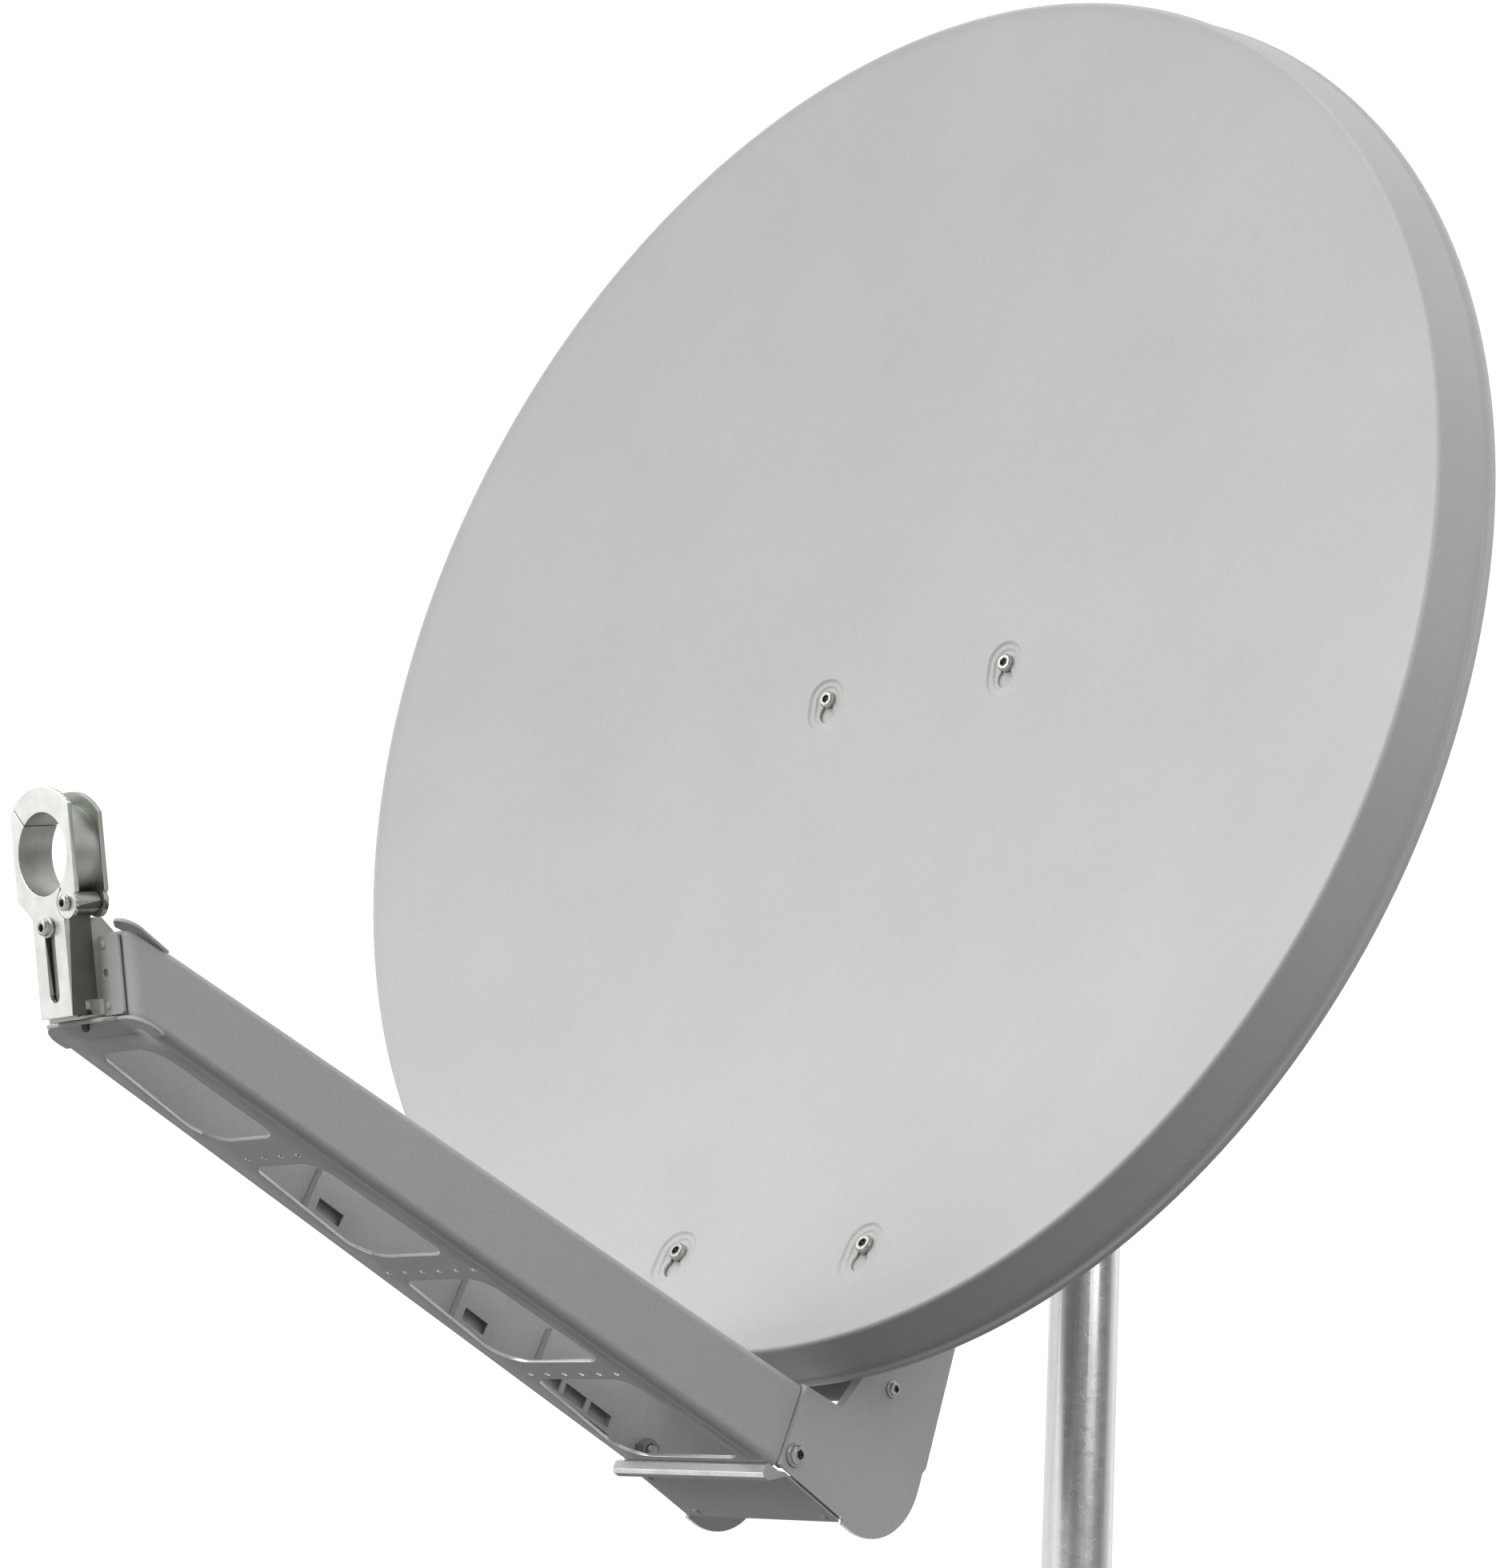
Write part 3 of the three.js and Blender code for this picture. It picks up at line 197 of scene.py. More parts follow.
def plate_points(outline, holes, low, high):
    """A flat plate with holes, drawn in (x, y) between two heights."""
    shape = bmesh.new()
    edges = []
    for loop in [outline, *holes]:
        verts = [shape.verts.new((p[0], p[1], low)) for p in loop]
        edges += [shape.edges.new((verts[i - 1], verts[i])) for i in range(len(verts))]
    bmesh.ops.triangle_fill(shape, use_beauty=True, use_dissolve=False, edges=edges)
    bottom = list(shape.faces)
    lifted = bmesh.ops.extrude_face_region(shape, geom=bottom, use_keep_orig=True)["geom"]
    for item in lifted:
        if isinstance(item, bmesh.types.BMVert):
            item.co.z += high - low
    shape.verts.index_update()
    points = [tuple(v.co) for v in shape.verts]
    faces = [tuple(v.index for v in face.verts) for face in shape.faces]
    shape.free()
    return points, faces


def merged(*pieces):
    """Several (points, faces) in one."""
    points, faces = [], []
    for more_points, more_faces in pieces:
        start = len(points)
        points += more_points
        faces += [tuple(start + index for index in face) for face in more_faces]
    return points, faces


def recolour(item, material, chosen):
    """Gives another material to the faces that chosen(centre, normal) picks."""
    item.data.materials.append(material)
    for face in item.data.polygons:
        if chosen(face.center, face.normal):
            face.material_index = len(item.data.materials) - 1


# ------------------------------------------------------------ materials
class Nodes:
    """Short names for building a node material."""

    def __init__(self, name):
        if name in bpy.data.materials:
            bpy.data.materials[name].name = "cad_" + name
        self.material = bpy.data.materials.new(name)
        self.material.use_nodes = True
        self.tree = self.material.node_tree
        self.shader = self.tree.nodes["Principled BSDF"]
        self.place = self.add("ShaderNodeTexCoord").outputs["Object"]

    def add(self, kind, **settings):
        node = self.tree.nodes.new(kind)
        for key, value in settings.items():
            setattr(node, key, value)
        return node

    def link(self, source, target):
        self.tree.links.new(source, target)

    def set(self, **values):
        for key, value in values.items():
            self.shader.inputs[key.replace("_", " ")].default_value = value

    def stretched(self, scale):
        mapping = self.add("ShaderNodeMapping")
        mapping.inputs["Scale"].default_value = scale
        self.link(self.place, mapping.inputs["Vector"])
        return mapping.outputs["Vector"]

    def noise(self, scale, detail=3.0, stretch=None, roughness=0.55):
        node = self.add("ShaderNodeTexNoise")
        node.inputs["Scale"].default_value = scale
        node.inputs["Detail"].default_value = detail
        node.inputs["Roughness"].default_value = roughness
        self.link(self.stretched(stretch) if stretch else self.place, node.inputs["Vector"])
        return node.outputs["Fac"]

    def cells(self, scale, feature="F1"):
        node = self.add("ShaderNodeTexVoronoi", feature=feature)
        node.inputs["Scale"].default_value = scale
        self.link(self.place, node.inputs["Vector"])
        return node.outputs

    def between(self, value, low, high, from_low=0.0, from_high=1.0):
        node = self.add("ShaderNodeMapRange")
        node.inputs["From Min"].default_value = from_low
        node.inputs["From Max"].default_value = from_high
        node.inputs["To Min"].default_value = low
        node.inputs["To Max"].default_value = high
        self.link(value, node.inputs["Value"])
        return node.outputs["Result"]

    def sum(self, first, second, operation="ADD"):
        node = self.add("ShaderNodeMath", operation=operation)
        for value, socket in zip((first, second), node.inputs):
            if isinstance(value, (int, float)):
                socket.default_value = value
            else:
                self.link(value, socket)
        return node.outputs["Value"]

    def mix(self, share, first, second):
        """A mix of two colours; sockets 0, 6 and 7 are its share and its colours, and output 2 its result."""
        node = self.add("ShaderNodeMix", data_type="RGBA")
        for value, socket in zip((share, first, second), (node.inputs[0], node.inputs[6], node.inputs[7])):
            if isinstance(value, (int, float)):
                socket.default_value = value
            elif isinstance(value, tuple):
                socket.default_value = (*value, 1)
            else:
                self.link(value, socket)
        return node.outputs[2]

    def worn_edges(self, width, sharpness=0.12):
        """1 on sharp edges and 0 on flats, from how far a rounded normal leans from the true one."""
        bevel = self.add("ShaderNodeBevel", samples=4)
        bevel.inputs["Radius"].default_value = width
        true = self.add("ShaderNodeNewGeometry").outputs["Normal"]
        dot = self.add("ShaderNodeVectorMath", operation="DOT_PRODUCT")
        self.link(bevel.outputs["Normal"], dot.inputs[0])
        self.link(true, dot.inputs[1])
        return self.between(dot.outputs["Value"], 1, 0, 1 - sharpness, 1)

    def bump(self, height, distance, strength=1.0):
        node = self.add("ShaderNodeBump")
        node.inputs["Distance"].default_value = distance
        node.inputs["Strength"].default_value = strength
        self.link(height, node.inputs["Height"])
        self.link(node.outputs["Normal"], self.shader.inputs["Normal"])


def shade(colour, factor):
    """A colour made lighter or darker."""
    return tuple(min(1, channel * factor) for channel in colour)


def powder_coat(name, colour, grain, gloss):
    """Powder-coated sheet: fine orange peel, specks, faint blotches and paler worn edges."""
    paint = Nodes(name)
    speck = paint.noise(1100, detail=2)
    blotch = paint.noise(9, detail=4)
    base = paint.mix(paint.between(blotch, 0, 1, 0.3, 0.7), shade(colour, 0.965), shade(colour, 1.03))
    speckled = paint.mix(paint.between(speck, 0, grain, 0.52, 0.75), base, shade(colour, 0.62))
    light = paint.mix(paint.between(speck, grain * 0.8, 0, 0.25, 0.45), speckled, shade(colour, 1.25))
    edges = paint.sum(paint.worn_edges(0.0007), paint.between(paint.noise(160), 0.1, 0.5), "MULTIPLY")
    paint.link(paint.mix(edges, light, shade(colour, 1.35)), paint.shader.inputs["Base Color"])
    rough = paint.sum(paint.between(speck, gloss - 0.05, gloss + 0.05), paint.between(blotch, -0.03, 0.03))
    paint.link(rough, paint.shader.inputs["Roughness"])
    peel = paint.sum(paint.noise(900, detail=2), paint.noise(260, detail=1))
    paint.bump(peel, 0.00006)
    paint.set(Metallic=0.0, Specular_IOR_Level=0.5)
    return paint.material


def galvanised(name):
    """Zinc-dipped tube: spangle cells, runs down its length and a patchy sheen."""
    zinc = Nodes(name)
    spangle = zinc.cells(190)["Color"]
    tone = zinc.add("ShaderNodeSeparateColor")
    zinc.link(spangle, tone.inputs["Color"])
    runs = zinc.noise(150, detail=6, stretch=(1, 1, 0.015))
    patch = zinc.noise(14, detail=4)
    mixed = zinc.sum(zinc.between(tone.outputs["Red"], 0, 0.08), zinc.between(runs, 0, 0.9, 0.3, 0.7), "ADD")
    colour = zinc.mix(mixed, (0.56, 0.56, 0.57), (0.86, 0.86, 0.87))
    zinc.link(colour, zinc.shader.inputs["Base Color"])
    rough = zinc.sum(zinc.between(tone.outputs["Green"], 0.2, 0.25), zinc.between(patch, -0.04, 0.1))
    zinc.link(rough, zinc.shader.inputs["Roughness"])
    height = zinc.sum(runs, zinc.between(tone.outputs["Blue"], 0, 0.06))
    zinc.bump(height, 0.0003)
    zinc.set(Metallic=0.92)
    return zinc.material


def plated(name, colour, roughness, brushed):
    """Plated or bare steel with drawn-out scratches and darker stains."""
    metal = Nodes(name)
    scratch = metal.noise(700, detail=4, stretch=brushed)
    stain = metal.noise(70, detail=5)
    tone = metal.mix(metal.between(stain, 0, 1, 0.35, 0.75), shade(colour, 1.06), shade(colour, 0.82))
    edges = metal.worn_edges(0.0004)
    metal.link(metal.mix(edges, tone, shade(colour, 1.2)), metal.shader.inputs["Base Color"])
    rough = metal.sum(metal.between(scratch, roughness - 0.07, roughness + 0.09),
                      metal.between(stain, -0.03, 0.05))
    metal.link(rough, metal.shader.inputs["Roughness"])
    metal.bump(scratch, 0.00004)
    metal.set(Metallic=1.0)
    return metal.material


DISH_PAINT = powder_coat("dish_paint", (0.61, 0.61, 0.595), 0.26, 0.5)
ARM_PAINT = powder_coat("arm_paint", (0.56, 0.565, 0.55), 0.36, 0.5)
BRACKET_PAINT = powder_coat("bracket_paint", (0.30, 0.305, 0.29), 0.5, 0.5)
GALVANISED = galvanised("galvanised_steel")
ZINC = plated("zinc", (0.5, 0.5, 0.48), 0.34, (1, 1, 1))
# Cast metal for the feed bracket, and painted shade behind the clamp ring's front plate.
CAST_AND_RING_SHADE = plated("cast_metal", (0.46, 0.48, 0.44), 0.42, (1, 1, 0.15))
# Painted shade: near-black for the stem's sides below the ring.
STEM_SIDE_SHADE = plated("stem_side_painted_shade", (0.13, 0.135, 0.12), 0.5, (1, 1, 0.15))
BRIGHT = plated("bright_steel", (0.86, 0.86, 0.83), 0.3, (0.15, 1, 1))
# Painted highlight: a bright steel colour put on some edges and chamfers so they show as white lines of light.
CUT_EDGE_HIGHLIGHT = plated("cut_edge_painted_highlight", (0.92, 0.92, 0.90), 0.3, (1, 1, 1))
# Painted shade: a near-black colour for the screws' sockets; the foot screw gets it all over.
SOCKET_SHADE_AND_DARK_SCREW = plated("socket", (0.10, 0.09, 0.085), 0.5, (1, 1, 1))

# ------------------------------------------------------------ reflector
HALF_WIDTH = 425
OFFSET = math.radians(17.2)
FOCAL = 537
HALF_HEIGHT = HALF_WIDTH / math.cos(OFFSET)
SKIN = 1.5
RIM_BEAD = 1.5  # width of the rounded edge where the bowl meets its flange
BOLT_X = 74.8
BOLT_UPS = {"upper": 4.2, "lower": -380.7}


def bowl_depth(x, up):
    """How far the paraboloid lies behind the rim's plane."""
    sine, cosine = math.sin(OFFSET), math.cos(OFFSET)
    vertex = 2 * FOCAL * math.tan(OFFSET)
    height = vertex + up * cosine
    rim_shift = (HALF_WIDTH**2 + vertex**2) / (4 * FOCAL)
    b = -(2 * sine * height + 4 * FOCAL * cosine)
    c = height**2 + x**2 - 4 * FOCAL * (rim_shift + up * sine)
    return -(-b - math.sqrt(b**2 - 4 * sine**2 * c)) / (2 * sine**2)


def bowl_lean(x, up):
    """Lean of the bowl's skin at a point, up the face."""
    return math.atan((bowl_depth(x, up + 1) - bowl_depth(x, up - 1)) / 2)


def eased(value):
    """0 below 0, 1 above 1, smooth between."""
    value = max(0.0, min(1.0, value))
    return value * value * (3 - 2 * value)


PAD_RADIUS = 14.5
PAD_STRETCH = 4.5  # half length of the pad's straight part
PAD_DROP = 4.5  # the pad's middle is this much below its bolt
PAD_STEPS = ((0.0, 2.2, 1.4), (4.6, 6.1, 0.95))  # from and to, inside the pad's edge, and how deep
PAD_DEPTH = sum(step[2] for step in PAD_STEPS)
PAD_GRAIN = 0.8  # longest edge of the skin's mesh there


def pad_depth(x, up):
    """How far the skin is pressed back round the bolts."""
    bolt_up = min(BOLT_UPS.values(), key=lambda level: abs(level - up))
    inside = PAD_RADIUS - math.hypot(abs(x) - BOLT_X, max(abs(up - bolt_up + PAD_DROP) - PAD_STRETCH, 0))
    return sum(depth * eased((inside - start) / (end - start)) for start, end, depth in PAD_STEPS)


def rim_section():
    """The flange's outside from the face's edge round to its rear: (out from the rim, behind the rim)."""
    lip = [(0.0, -0.35), (0.9, -0.7), (1.9, -0.6), (2.8, 0.05), (3.4, 1.1), (3.7, 2.5)]
    last = (12.0, 29.5)
    wall = [tuple(a + (b - a) * i / 6 for a, b in zip(lip[-1], last)) for i in range(1, 7)]
    bead = [(11.7, 30.6), (11.6, 31.8), (12.3, 33.0), (13.5, 33.7), (14.2, 34.7)]
    edge = [(14.1, 38.0), (13.9, 39.0), (13.5, 39.5)]
    return lip + wall + bead + edge


def offset_line(points, distance):
    """The line moved sideways by distance."""
    moved = []
    for i, point in enumerate(points):
        before = Vector(points[max(i - 1, 0)])
        after = Vector(points[min(i + 1, len(points) - 1)])
        along = (after - before).normalized()
        moved.append((point[0] - along.y * distance, point[1] + along.x * distance))
    return moved


def reflector_mesh():
    """The bowl and its flange as one sheet, with its section (share of the width, out, behind) run round."""
    rings, spokes = 64, 240
    skin = [((HALF_WIDTH - RIM_BEAD) * (i / rings) ** 0.85, 0, 0) for i in range(1, rings + 1)]
    outside = rim_section()
    inside = offset_line(outside, SKIN)
    section = skin + [(HALF_WIDTH, out, behind) for out, behind in outside]
    section += [(HALF_WIDTH, out, behind) for out, behind in reversed(inside[3:])]
    section += [(radius, 0, SKIN) for radius, _, _ in reversed(skin[:-1])]
    rows = []
    for share, out, behind in section:
        row = []
        for i in range(spokes):
            angle = 2 * math.pi * i / spokes
            right, up = math.cos(angle), math.sin(angle)
            up_share = share * HALF_HEIGHT / HALF_WIDTH
            depth = bowl_depth(right * share, up * up_share) + behind
            row.append((right * (share + out), depth, up * (up_share + out)))
        rows.append(row)
    points, faces = from_grid(rows, close_rows=False)
    for start, behind in ((0, 0), (len(rows) - 1, SKIN)):
        middle = len(points)
        points.append((0, bowl_depth(0, 0) + behind, 0))
        first = start * spokes
        faces += [(first + i, first + (i + 1) % spokes, middle) for i in range(spokes)]
    mesh = solid_mesh("reflector_fine", points, faces, Matrix.Identity(4))
    return press_pads(mesh)


def press_pads(mesh):
    """Splits the skin finely round each bolt and presses it back into a stepped oval."""
    shape = bmesh.new()
    shape.from_mesh(mesh)

    def near_pad(point):
        bolt_up = min(BOLT_UPS.values(), key=lambda level: abs(level - point.z))
        return math.hypot(abs(point.x) - BOLT_X, point.z - bolt_up + PAD_DROP) < 2 * PAD_RADIUS

    for _ in range(4):
        edges = [edge for edge in shape.edges
                 if edge.calc_length() > PAD_GRAIN and any(near_pad(vert.co) for vert in edge.verts)]
        bmesh.ops.subdivide_edges(shape, edges=edges, cuts=1, use_grid_fill=True)
    for vert in shape.verts:
        if near_pad(vert.co):
            true_depth = bowl_depth(vert.co.x, vert.co.z)
            behind = SKIN if vert.co.y - true_depth > SKIN / 2 else 0
            vert.co.y = true_depth + behind + pad_depth(vert.co.x, vert.co.z)
    shape.to_mesh(mesh)
    shape.free()
    return mesh


KEYHOLE_RADIUS = 6.2
KEYHOLE_DROP = 10
KEYHOLE_NECK = 4.2
CUT_REACH = 9  # the keyhole cutter's reach to each side of the skin


def bolt_place(x, up):
    """A dish bolt's place on the bowl, with +Z coming out of the front."""
    return Matrix.Translation((x, bowl_depth(x, up), up)) @ turned(math.pi / 2 - bowl_lean(x, up))


def at_each_bolt(points, faces):
    """The same shape standing at all four dish bolts."""
    pieces = []
    for up in BOLT_UPS.values():
        for x in (-BOLT_X, BOLT_X):
            pieces.append(([tuple(bolt_place(x, up) @ Vector(p)) for p in points], faces))
    return merged(*pieces)


def keyhole_cutter():
    """Prisms through the skin below each bolt: a round hole with a neck up to the bolt."""
    side = math.sqrt(KEYHOLE_RADIUS**2 - KEYHOLE_NECK**2)
    start = math.atan2(side, KEYHOLE_NECK)
    sweep = 2 * math.pi - 2 * (math.pi / 2 - start)
    outline = []
    for i in range(25):
        angle = start - sweep * i / 24
        outline.append((KEYHOLE_RADIUS * math.cos(angle), KEYHOLE_RADIUS * math.sin(angle) - KEYHOLE_DROP))
    for i in range(9):
        angle = math.pi * (1 - i / 8)
        outline.append((KEYHOLE_NECK * math.cos(angle), KEYHOLE_NECK * math.sin(angle)))
    return at_each_bolt(*plate_points(outline, [], -CUT_REACH, CUT_REACH))


def build_bar_seats():
    """Bosses on the cross bars that the bowl rests on; they show through its keyholes."""
    top = PAD_DEPTH + SKIN + 0.4
    rows = [[(*p, -behind) for p in circle(0, -KEYHOLE_DROP / 2, radius, 48)]
            for behind, radius in ((top, 15), (top + 0.6, 15.6), (top + 3.2, 17))]
    mesh = solid_mesh("bar_seats", *at_each_bolt(*capped(rows)), FACE)
    finish_mesh("bar_seats", mesh, "dish_frame", DISH_PAINT)


def cut_by(mesh, points, faces):
    """The mesh with a shape cut out of it."""
    holder = bpy.data.objects.new("holder", mesh)
    knife = bpy.data.objects.new("knife", solid_mesh("knife", points, faces, Matrix.Identity(4)))
    for item in (holder, knife):
        bpy.context.scene.collection.objects.link(item)
    cutting = holder.modifiers.new("cut", "BOOLEAN")
    cutting.object = knife
    cutting.operation = "DIFFERENCE"
    cutting.solver = "EXACT"
    ready = holder.evaluated_get(bpy.context.evaluated_depsgraph_get())
    result = bpy.data.meshes.new_from_object(ready)
    for item in (holder, knife):
        bpy.data.objects.remove(item)
    return result


def build_reflector():
    """The bowl with its flange, pads and keyholes."""
    mesh = cut_by(reflector_mesh(), *keyhole_cutter())
    mesh.transform(FACE)
    finish_mesh("reflector_fine", mesh, "dish_frame", DISH_PAINT, ["reflector"], angle=35)


# ------------------------------------------------------------ feed arm
ARM_LENGTH = 477
ARM_HEEL = (59.2, 51)  # half width and height
ARM_NOSE = (39.6, 36.8)
ARM_TAIL = 9.5  # the web ends this far ahead of the heel
ARM_SHEET = 2
ARM_BEND = 6
ARM_HEM = 9
NOSE_CORNER = 9
NOSE_MOUTH = 17
NOSE_SLANT = math.tan(ARM_PITCH + RING_PITCH)
LIP_REACH = 4.5  # the nose's lips stand out this much
WEB_EDGE = 9  # from the arm's outside to where the flat web begins
ARM_BOLT = (-2.5, 11.4)
ARM_BOLT_HOLE = 4.4
# each opening: front and rear edges ahead of the heel, half width in front, left and right half widths behind
OPENINGS = ((454, 370, 22, 33, 24), (345, 251, 25, 36, 30), (226, 134, 31, 42, 37), (114, 20, 36, 50, 43))
HOLE_ROWS = ((353, 4), (235, 6), (120, 6))
HOLE_PITCH = 13.6
HOLE_RADIUS = 1.6
CHEEK_EDGE = -10  # front edge of the side plates, in the arm's frame
FLOOR_REAR = (-20, -531.6)  # end of the floor plate, from the rim's centre
FLOOR_HALF = 59.3
LIP_DROP = 9  # the floor plate's lip hangs this far under the web


def arm_share(ahead):
    """0 at the arm's heel and 1 at its nose."""
    return max(0.0, min(1.0, ahead / ARM_LENGTH))


def arm_warp(point):
    """Narrows the height and leans the nose, like the real blank."""
    x, y, z = point
    share = arm_share(-y)
    z *= 1 + (ARM_NOSE[1] / ARM_HEEL[1] - 1) * share
    return x, y - NOSE_SLANT * z * share, z


def half_width(ahead):
    """Half the arm's width, this far ahead of the heel."""
    return ARM_HEEL[0] + (ARM_NOSE[0] - ARM_HEEL[0]) * arm_share(ahead)


def wall_path(side):
    """Along one wall, round the nose's corner and up to its mouth: (x, y, inward x, inward y)."""
    path = []
    lean = math.atan((ARM_HEEL[0] - ARM_NOSE[0]) / ARM_LENGTH)
    inward = Vector((-math.cos(lean), math.sin(lean)))
    steps = 24
    straight = ARM_LENGTH - NOSE_CORNER
    for i in range(steps + 1):
        ahead = ARM_TAIL + (straight - ARM_TAIL) * i / steps
        path.append((half_width(ahead), -ahead, *inward))
    corner = Vector((half_width(straight), -straight)) + inward * NOSE_CORNER
    for i in range(1, 11):
        angle = lean + (-math.pi / 2 - lean) * i / 10
        spoke = Vector((math.cos(angle), math.sin(angle)))
        path.append((*(corner + spoke * NOSE_CORNER), -spoke.x, -spoke.y))
    path.append((NOSE_MOUTH, path[-1][1], 0, 1))
    return [(side * x, y, side * inx, iny) for x, y, inx, iny in path]


def arc(centre, radius, start, end, steps=5):
    """Points on an arc between two angles in degrees."""
    angles = [math.radians(start + (end - start) * i / steps) for i in range(steps + 1)]
    return [(centre[0] + radius * math.cos(a), centre[1] + radius * math.sin(a)) for a in angles]


def wall_section():
    """Section of a wall, from the web round its bend to the hem: (inward, up)."""
    height, bend, sheet = ARM_HEEL[1], ARM_BEND, ARM_SHEET
    outer = [(WEB_EDGE, 0)] + arc((bend, bend), bend, 270, 180)
    outer += arc((bend, height - bend), bend, 180, 90) + [(ARM_HEM, height)]
    inner = [(ARM_HEM, height - sheet)] + arc((bend, height - bend), bend - sheet, 90, 180)
    inner += arc((bend, bend), bend - sheet, 180, 270) + [(WEB_EDGE, sheet)]
    return outer + inner


def arm_wall(side):
    """One wall of the arm with its bend, its hem and its half of the nose."""
    section = wall_section()
    path = wall_path(side)
    return capped([[(x + inx * d, y + iny * d, z) for d, z in section] for x, y, inx, iny in path])


def opening_outline(opening, steps=10):
    """Outline of one of the web's openings."""
    front, rear, front_half, left, right = opening
    return rounded([
        (-front_half, -front, 9),
        (front_half, -front, 14),
        (right, -rear, 10),
        (-left, -rear, 18),
    ], steps)


def arm_web():
    """The flat underside between the walls, with its openings and rows of small holes."""
    right = [(x + inx * WEB_EDGE, y + iny * WEB_EDGE) for x, y, inx, iny in wall_path(1)]
    left = [(-x, y) for x, y in reversed(right)]
    holes = [opening_outline(opening) for opening in OPENINGS]
    for ahead, count in HOLE_ROWS:
        for i in range(count):
            holes.append(circle((i - (count - 1) / 2) * HOLE_PITCH, -ahead, HOLE_RADIUS, 14))
    return plate_points(right + left, holes, 0, ARM_SHEET)


def arm_tails():
    """Ends of the walls, between the side plates."""
    pieces = []
    for side in (-1, 1):
        outline = [(-ARM_TAIL, 3.8), (8, 3.8), (8, ARM_HEEL[1]), (-ARM_TAIL, ARM_HEEL[1])]
        hole = circle(*ARM_BOLT, ARM_BOLT_HOLE)
        points, faces = plate_points(outline, [hole], ARM_HEEL[0] - ARM_SHEET, ARM_HEEL[0])
        pieces.append(([(side * z, x, y) for x, y, z in points], faces))
    return pieces


def nose_lips():
    """Flat lips that stand out round the nose: the whole width below, and the right corner above."""
    out = ARM_NOSE[0] + LIP_REACH
    front = -ARM_LENGTH - 2.5
    top = ARM_NOSE[1]
    lower = [(-out, front, 12), (out, front, 12), (out - 4, front + 18, 0), (4 - out, front + 18, 0)]
    pieces = [plate_points(rounded(lower, 10), [], 0.05, ARM_SHEET + 0.05)]
    top_front = front - NOSE_SLANT * top - 2.5
    upper = [(29, top_front + 4, 0), (33, top_front, 2), (out + 1, top_front, 9), (out - 3, top_front + 30, 0)]
    pieces.append(plate_points(rounded(upper, 10), [], top - 1.8, top + 0.1))
    return pieces


def nose_tongue():
    """The web's end, bent level under the feed bracket's foot."""
    outline = rounded([(-24, 9, 2), (24, 9, 2), (24, 22, 0), (-24, 22, 0)], 4)
    return plate_points(outline, [circle(0, 15.5, 2.4)], -82.2, -80.2)


def web_edge_highlight(centre, normal):
    """True for the cut edges of the web's openings and holes, which get a painted highlight."""
    place = ARM.inverted()
    point = place @ centre
    leans = (place.to_3x3() @ normal).normalized()
    return 0.2 < point.z < ARM_SHEET and abs(leans.z) < 0.3 and -point.y > ARM_TAIL + 1


def build_arm():
    """The channel, its tails between the side plates, and the lips and tongue at its nose."""
    points, faces = merged(arm_wall(-1), arm_wall(1), arm_web())
    mesh = solid_mesh("arm_fine", [arm_warp(p) for p in points], faces, ARM)
    arm = finish_mesh("arm_channel_fine", mesh, "dish_frame", ARM_PAINT, ["arm_channel"], bevel=0.4)
    # Painted highlight: the cut edges of the openings and holes get the bright edge colour.
    recolour(arm, CUT_EDGE_HIGHLIGHT, web_edge_highlight)
    mesh = solid_mesh("arm_tails", *merged(*arm_tails()), ARM)
    finish_mesh("arm_tails", mesh, "dish_frame", ARM_PAINT, bevel=0.5)
    mesh = solid_mesh("nose_lips", *merged(*nose_lips()), ARM)
    finish_mesh("nose_lips", mesh, "dish_frame", ARM_PAINT, bevel=0.6, segments=3)
    mesh = solid_mesh("nose_tongue", *nose_tongue(), RING)
    finish_mesh("nose_tongue", mesh, "dish_frame", ARM_PAINT, bevel=0.5)


def from_arm(y, z):
    """A point of the arm's frame, seen from the rim's centre."""
    sine, cosine = math.sin(ARM_PITCH), math.cos(ARM_PITCH)
    return ARM_HEEL_AT[0] + y * cosine + z * sine, ARM_HEEL_AT[1] - y * sine + z * cosine


FLOOR_FRONT = from_arm(CHEEK_EDGE, ARM_SHEET)
FLOOR_SLOPE = (FLOOR_REAR[1] - FLOOR_FRONT[1]) / (FLOOR_REAR[0] - FLOOR_FRONT[0])


def floor_line(y, below=0.0):
    """A point on the side plates' lower edge, or below it."""
    return y, FLOOR_FRONT[1] + FLOOR_SLOPE * (y - FLOOR_FRONT[0]) - below


def build_floor_plate():
    """The floor between the side plates, with a rolled lip in front that runs under the arm's web."""
    top, under = 0.4, 0.4 + ARM_SHEET
    lip = [(-7, -top), (-16, -top), (-18, -top - 2), (-18, -LIP_DROP + 2), (-16, -LIP_DROP), (-12, -LIP_DROP)]
    outline = [from_arm(*point) for point in lip]
    outline += [floor_line(FLOOR_FRONT[0] + 8, under), floor_line(FLOOR_REAR[0] - 1.2, under)]
    outline += [floor_line(FLOOR_REAR[0] - 1.2, top), floor_line(FLOOR_FRONT[0] + 7, top)]
    points, faces = plate_points(outline, [], -FLOOR_HALF, FLOOR_HALF)
    mesh = solid_mesh("bracket_floor_fine", [(z, x, y) for x, y, z in points], faces, RIM)
    floor = finish_mesh(
        "bracket_floor_fine", mesh, "dish_frame", ARM_PAINT, ["bracket_floor"], bevel=0.5, segments=3)
    to_arm = ARM.inverted().to_3x3()

    def lip_chamfer_highlight(centre, normal):
        leans = (to_arm @ normal).normalized()
        return abs(leans.y) > 0.4 and abs(leans.z) > 0.4 and leans.y < 0

    # Painted highlight: the lip's front chamfers get the bright edge colour.
    recolour(floor, CUT_EDGE_HIGHLIGHT, lip_chamfer_highlight)


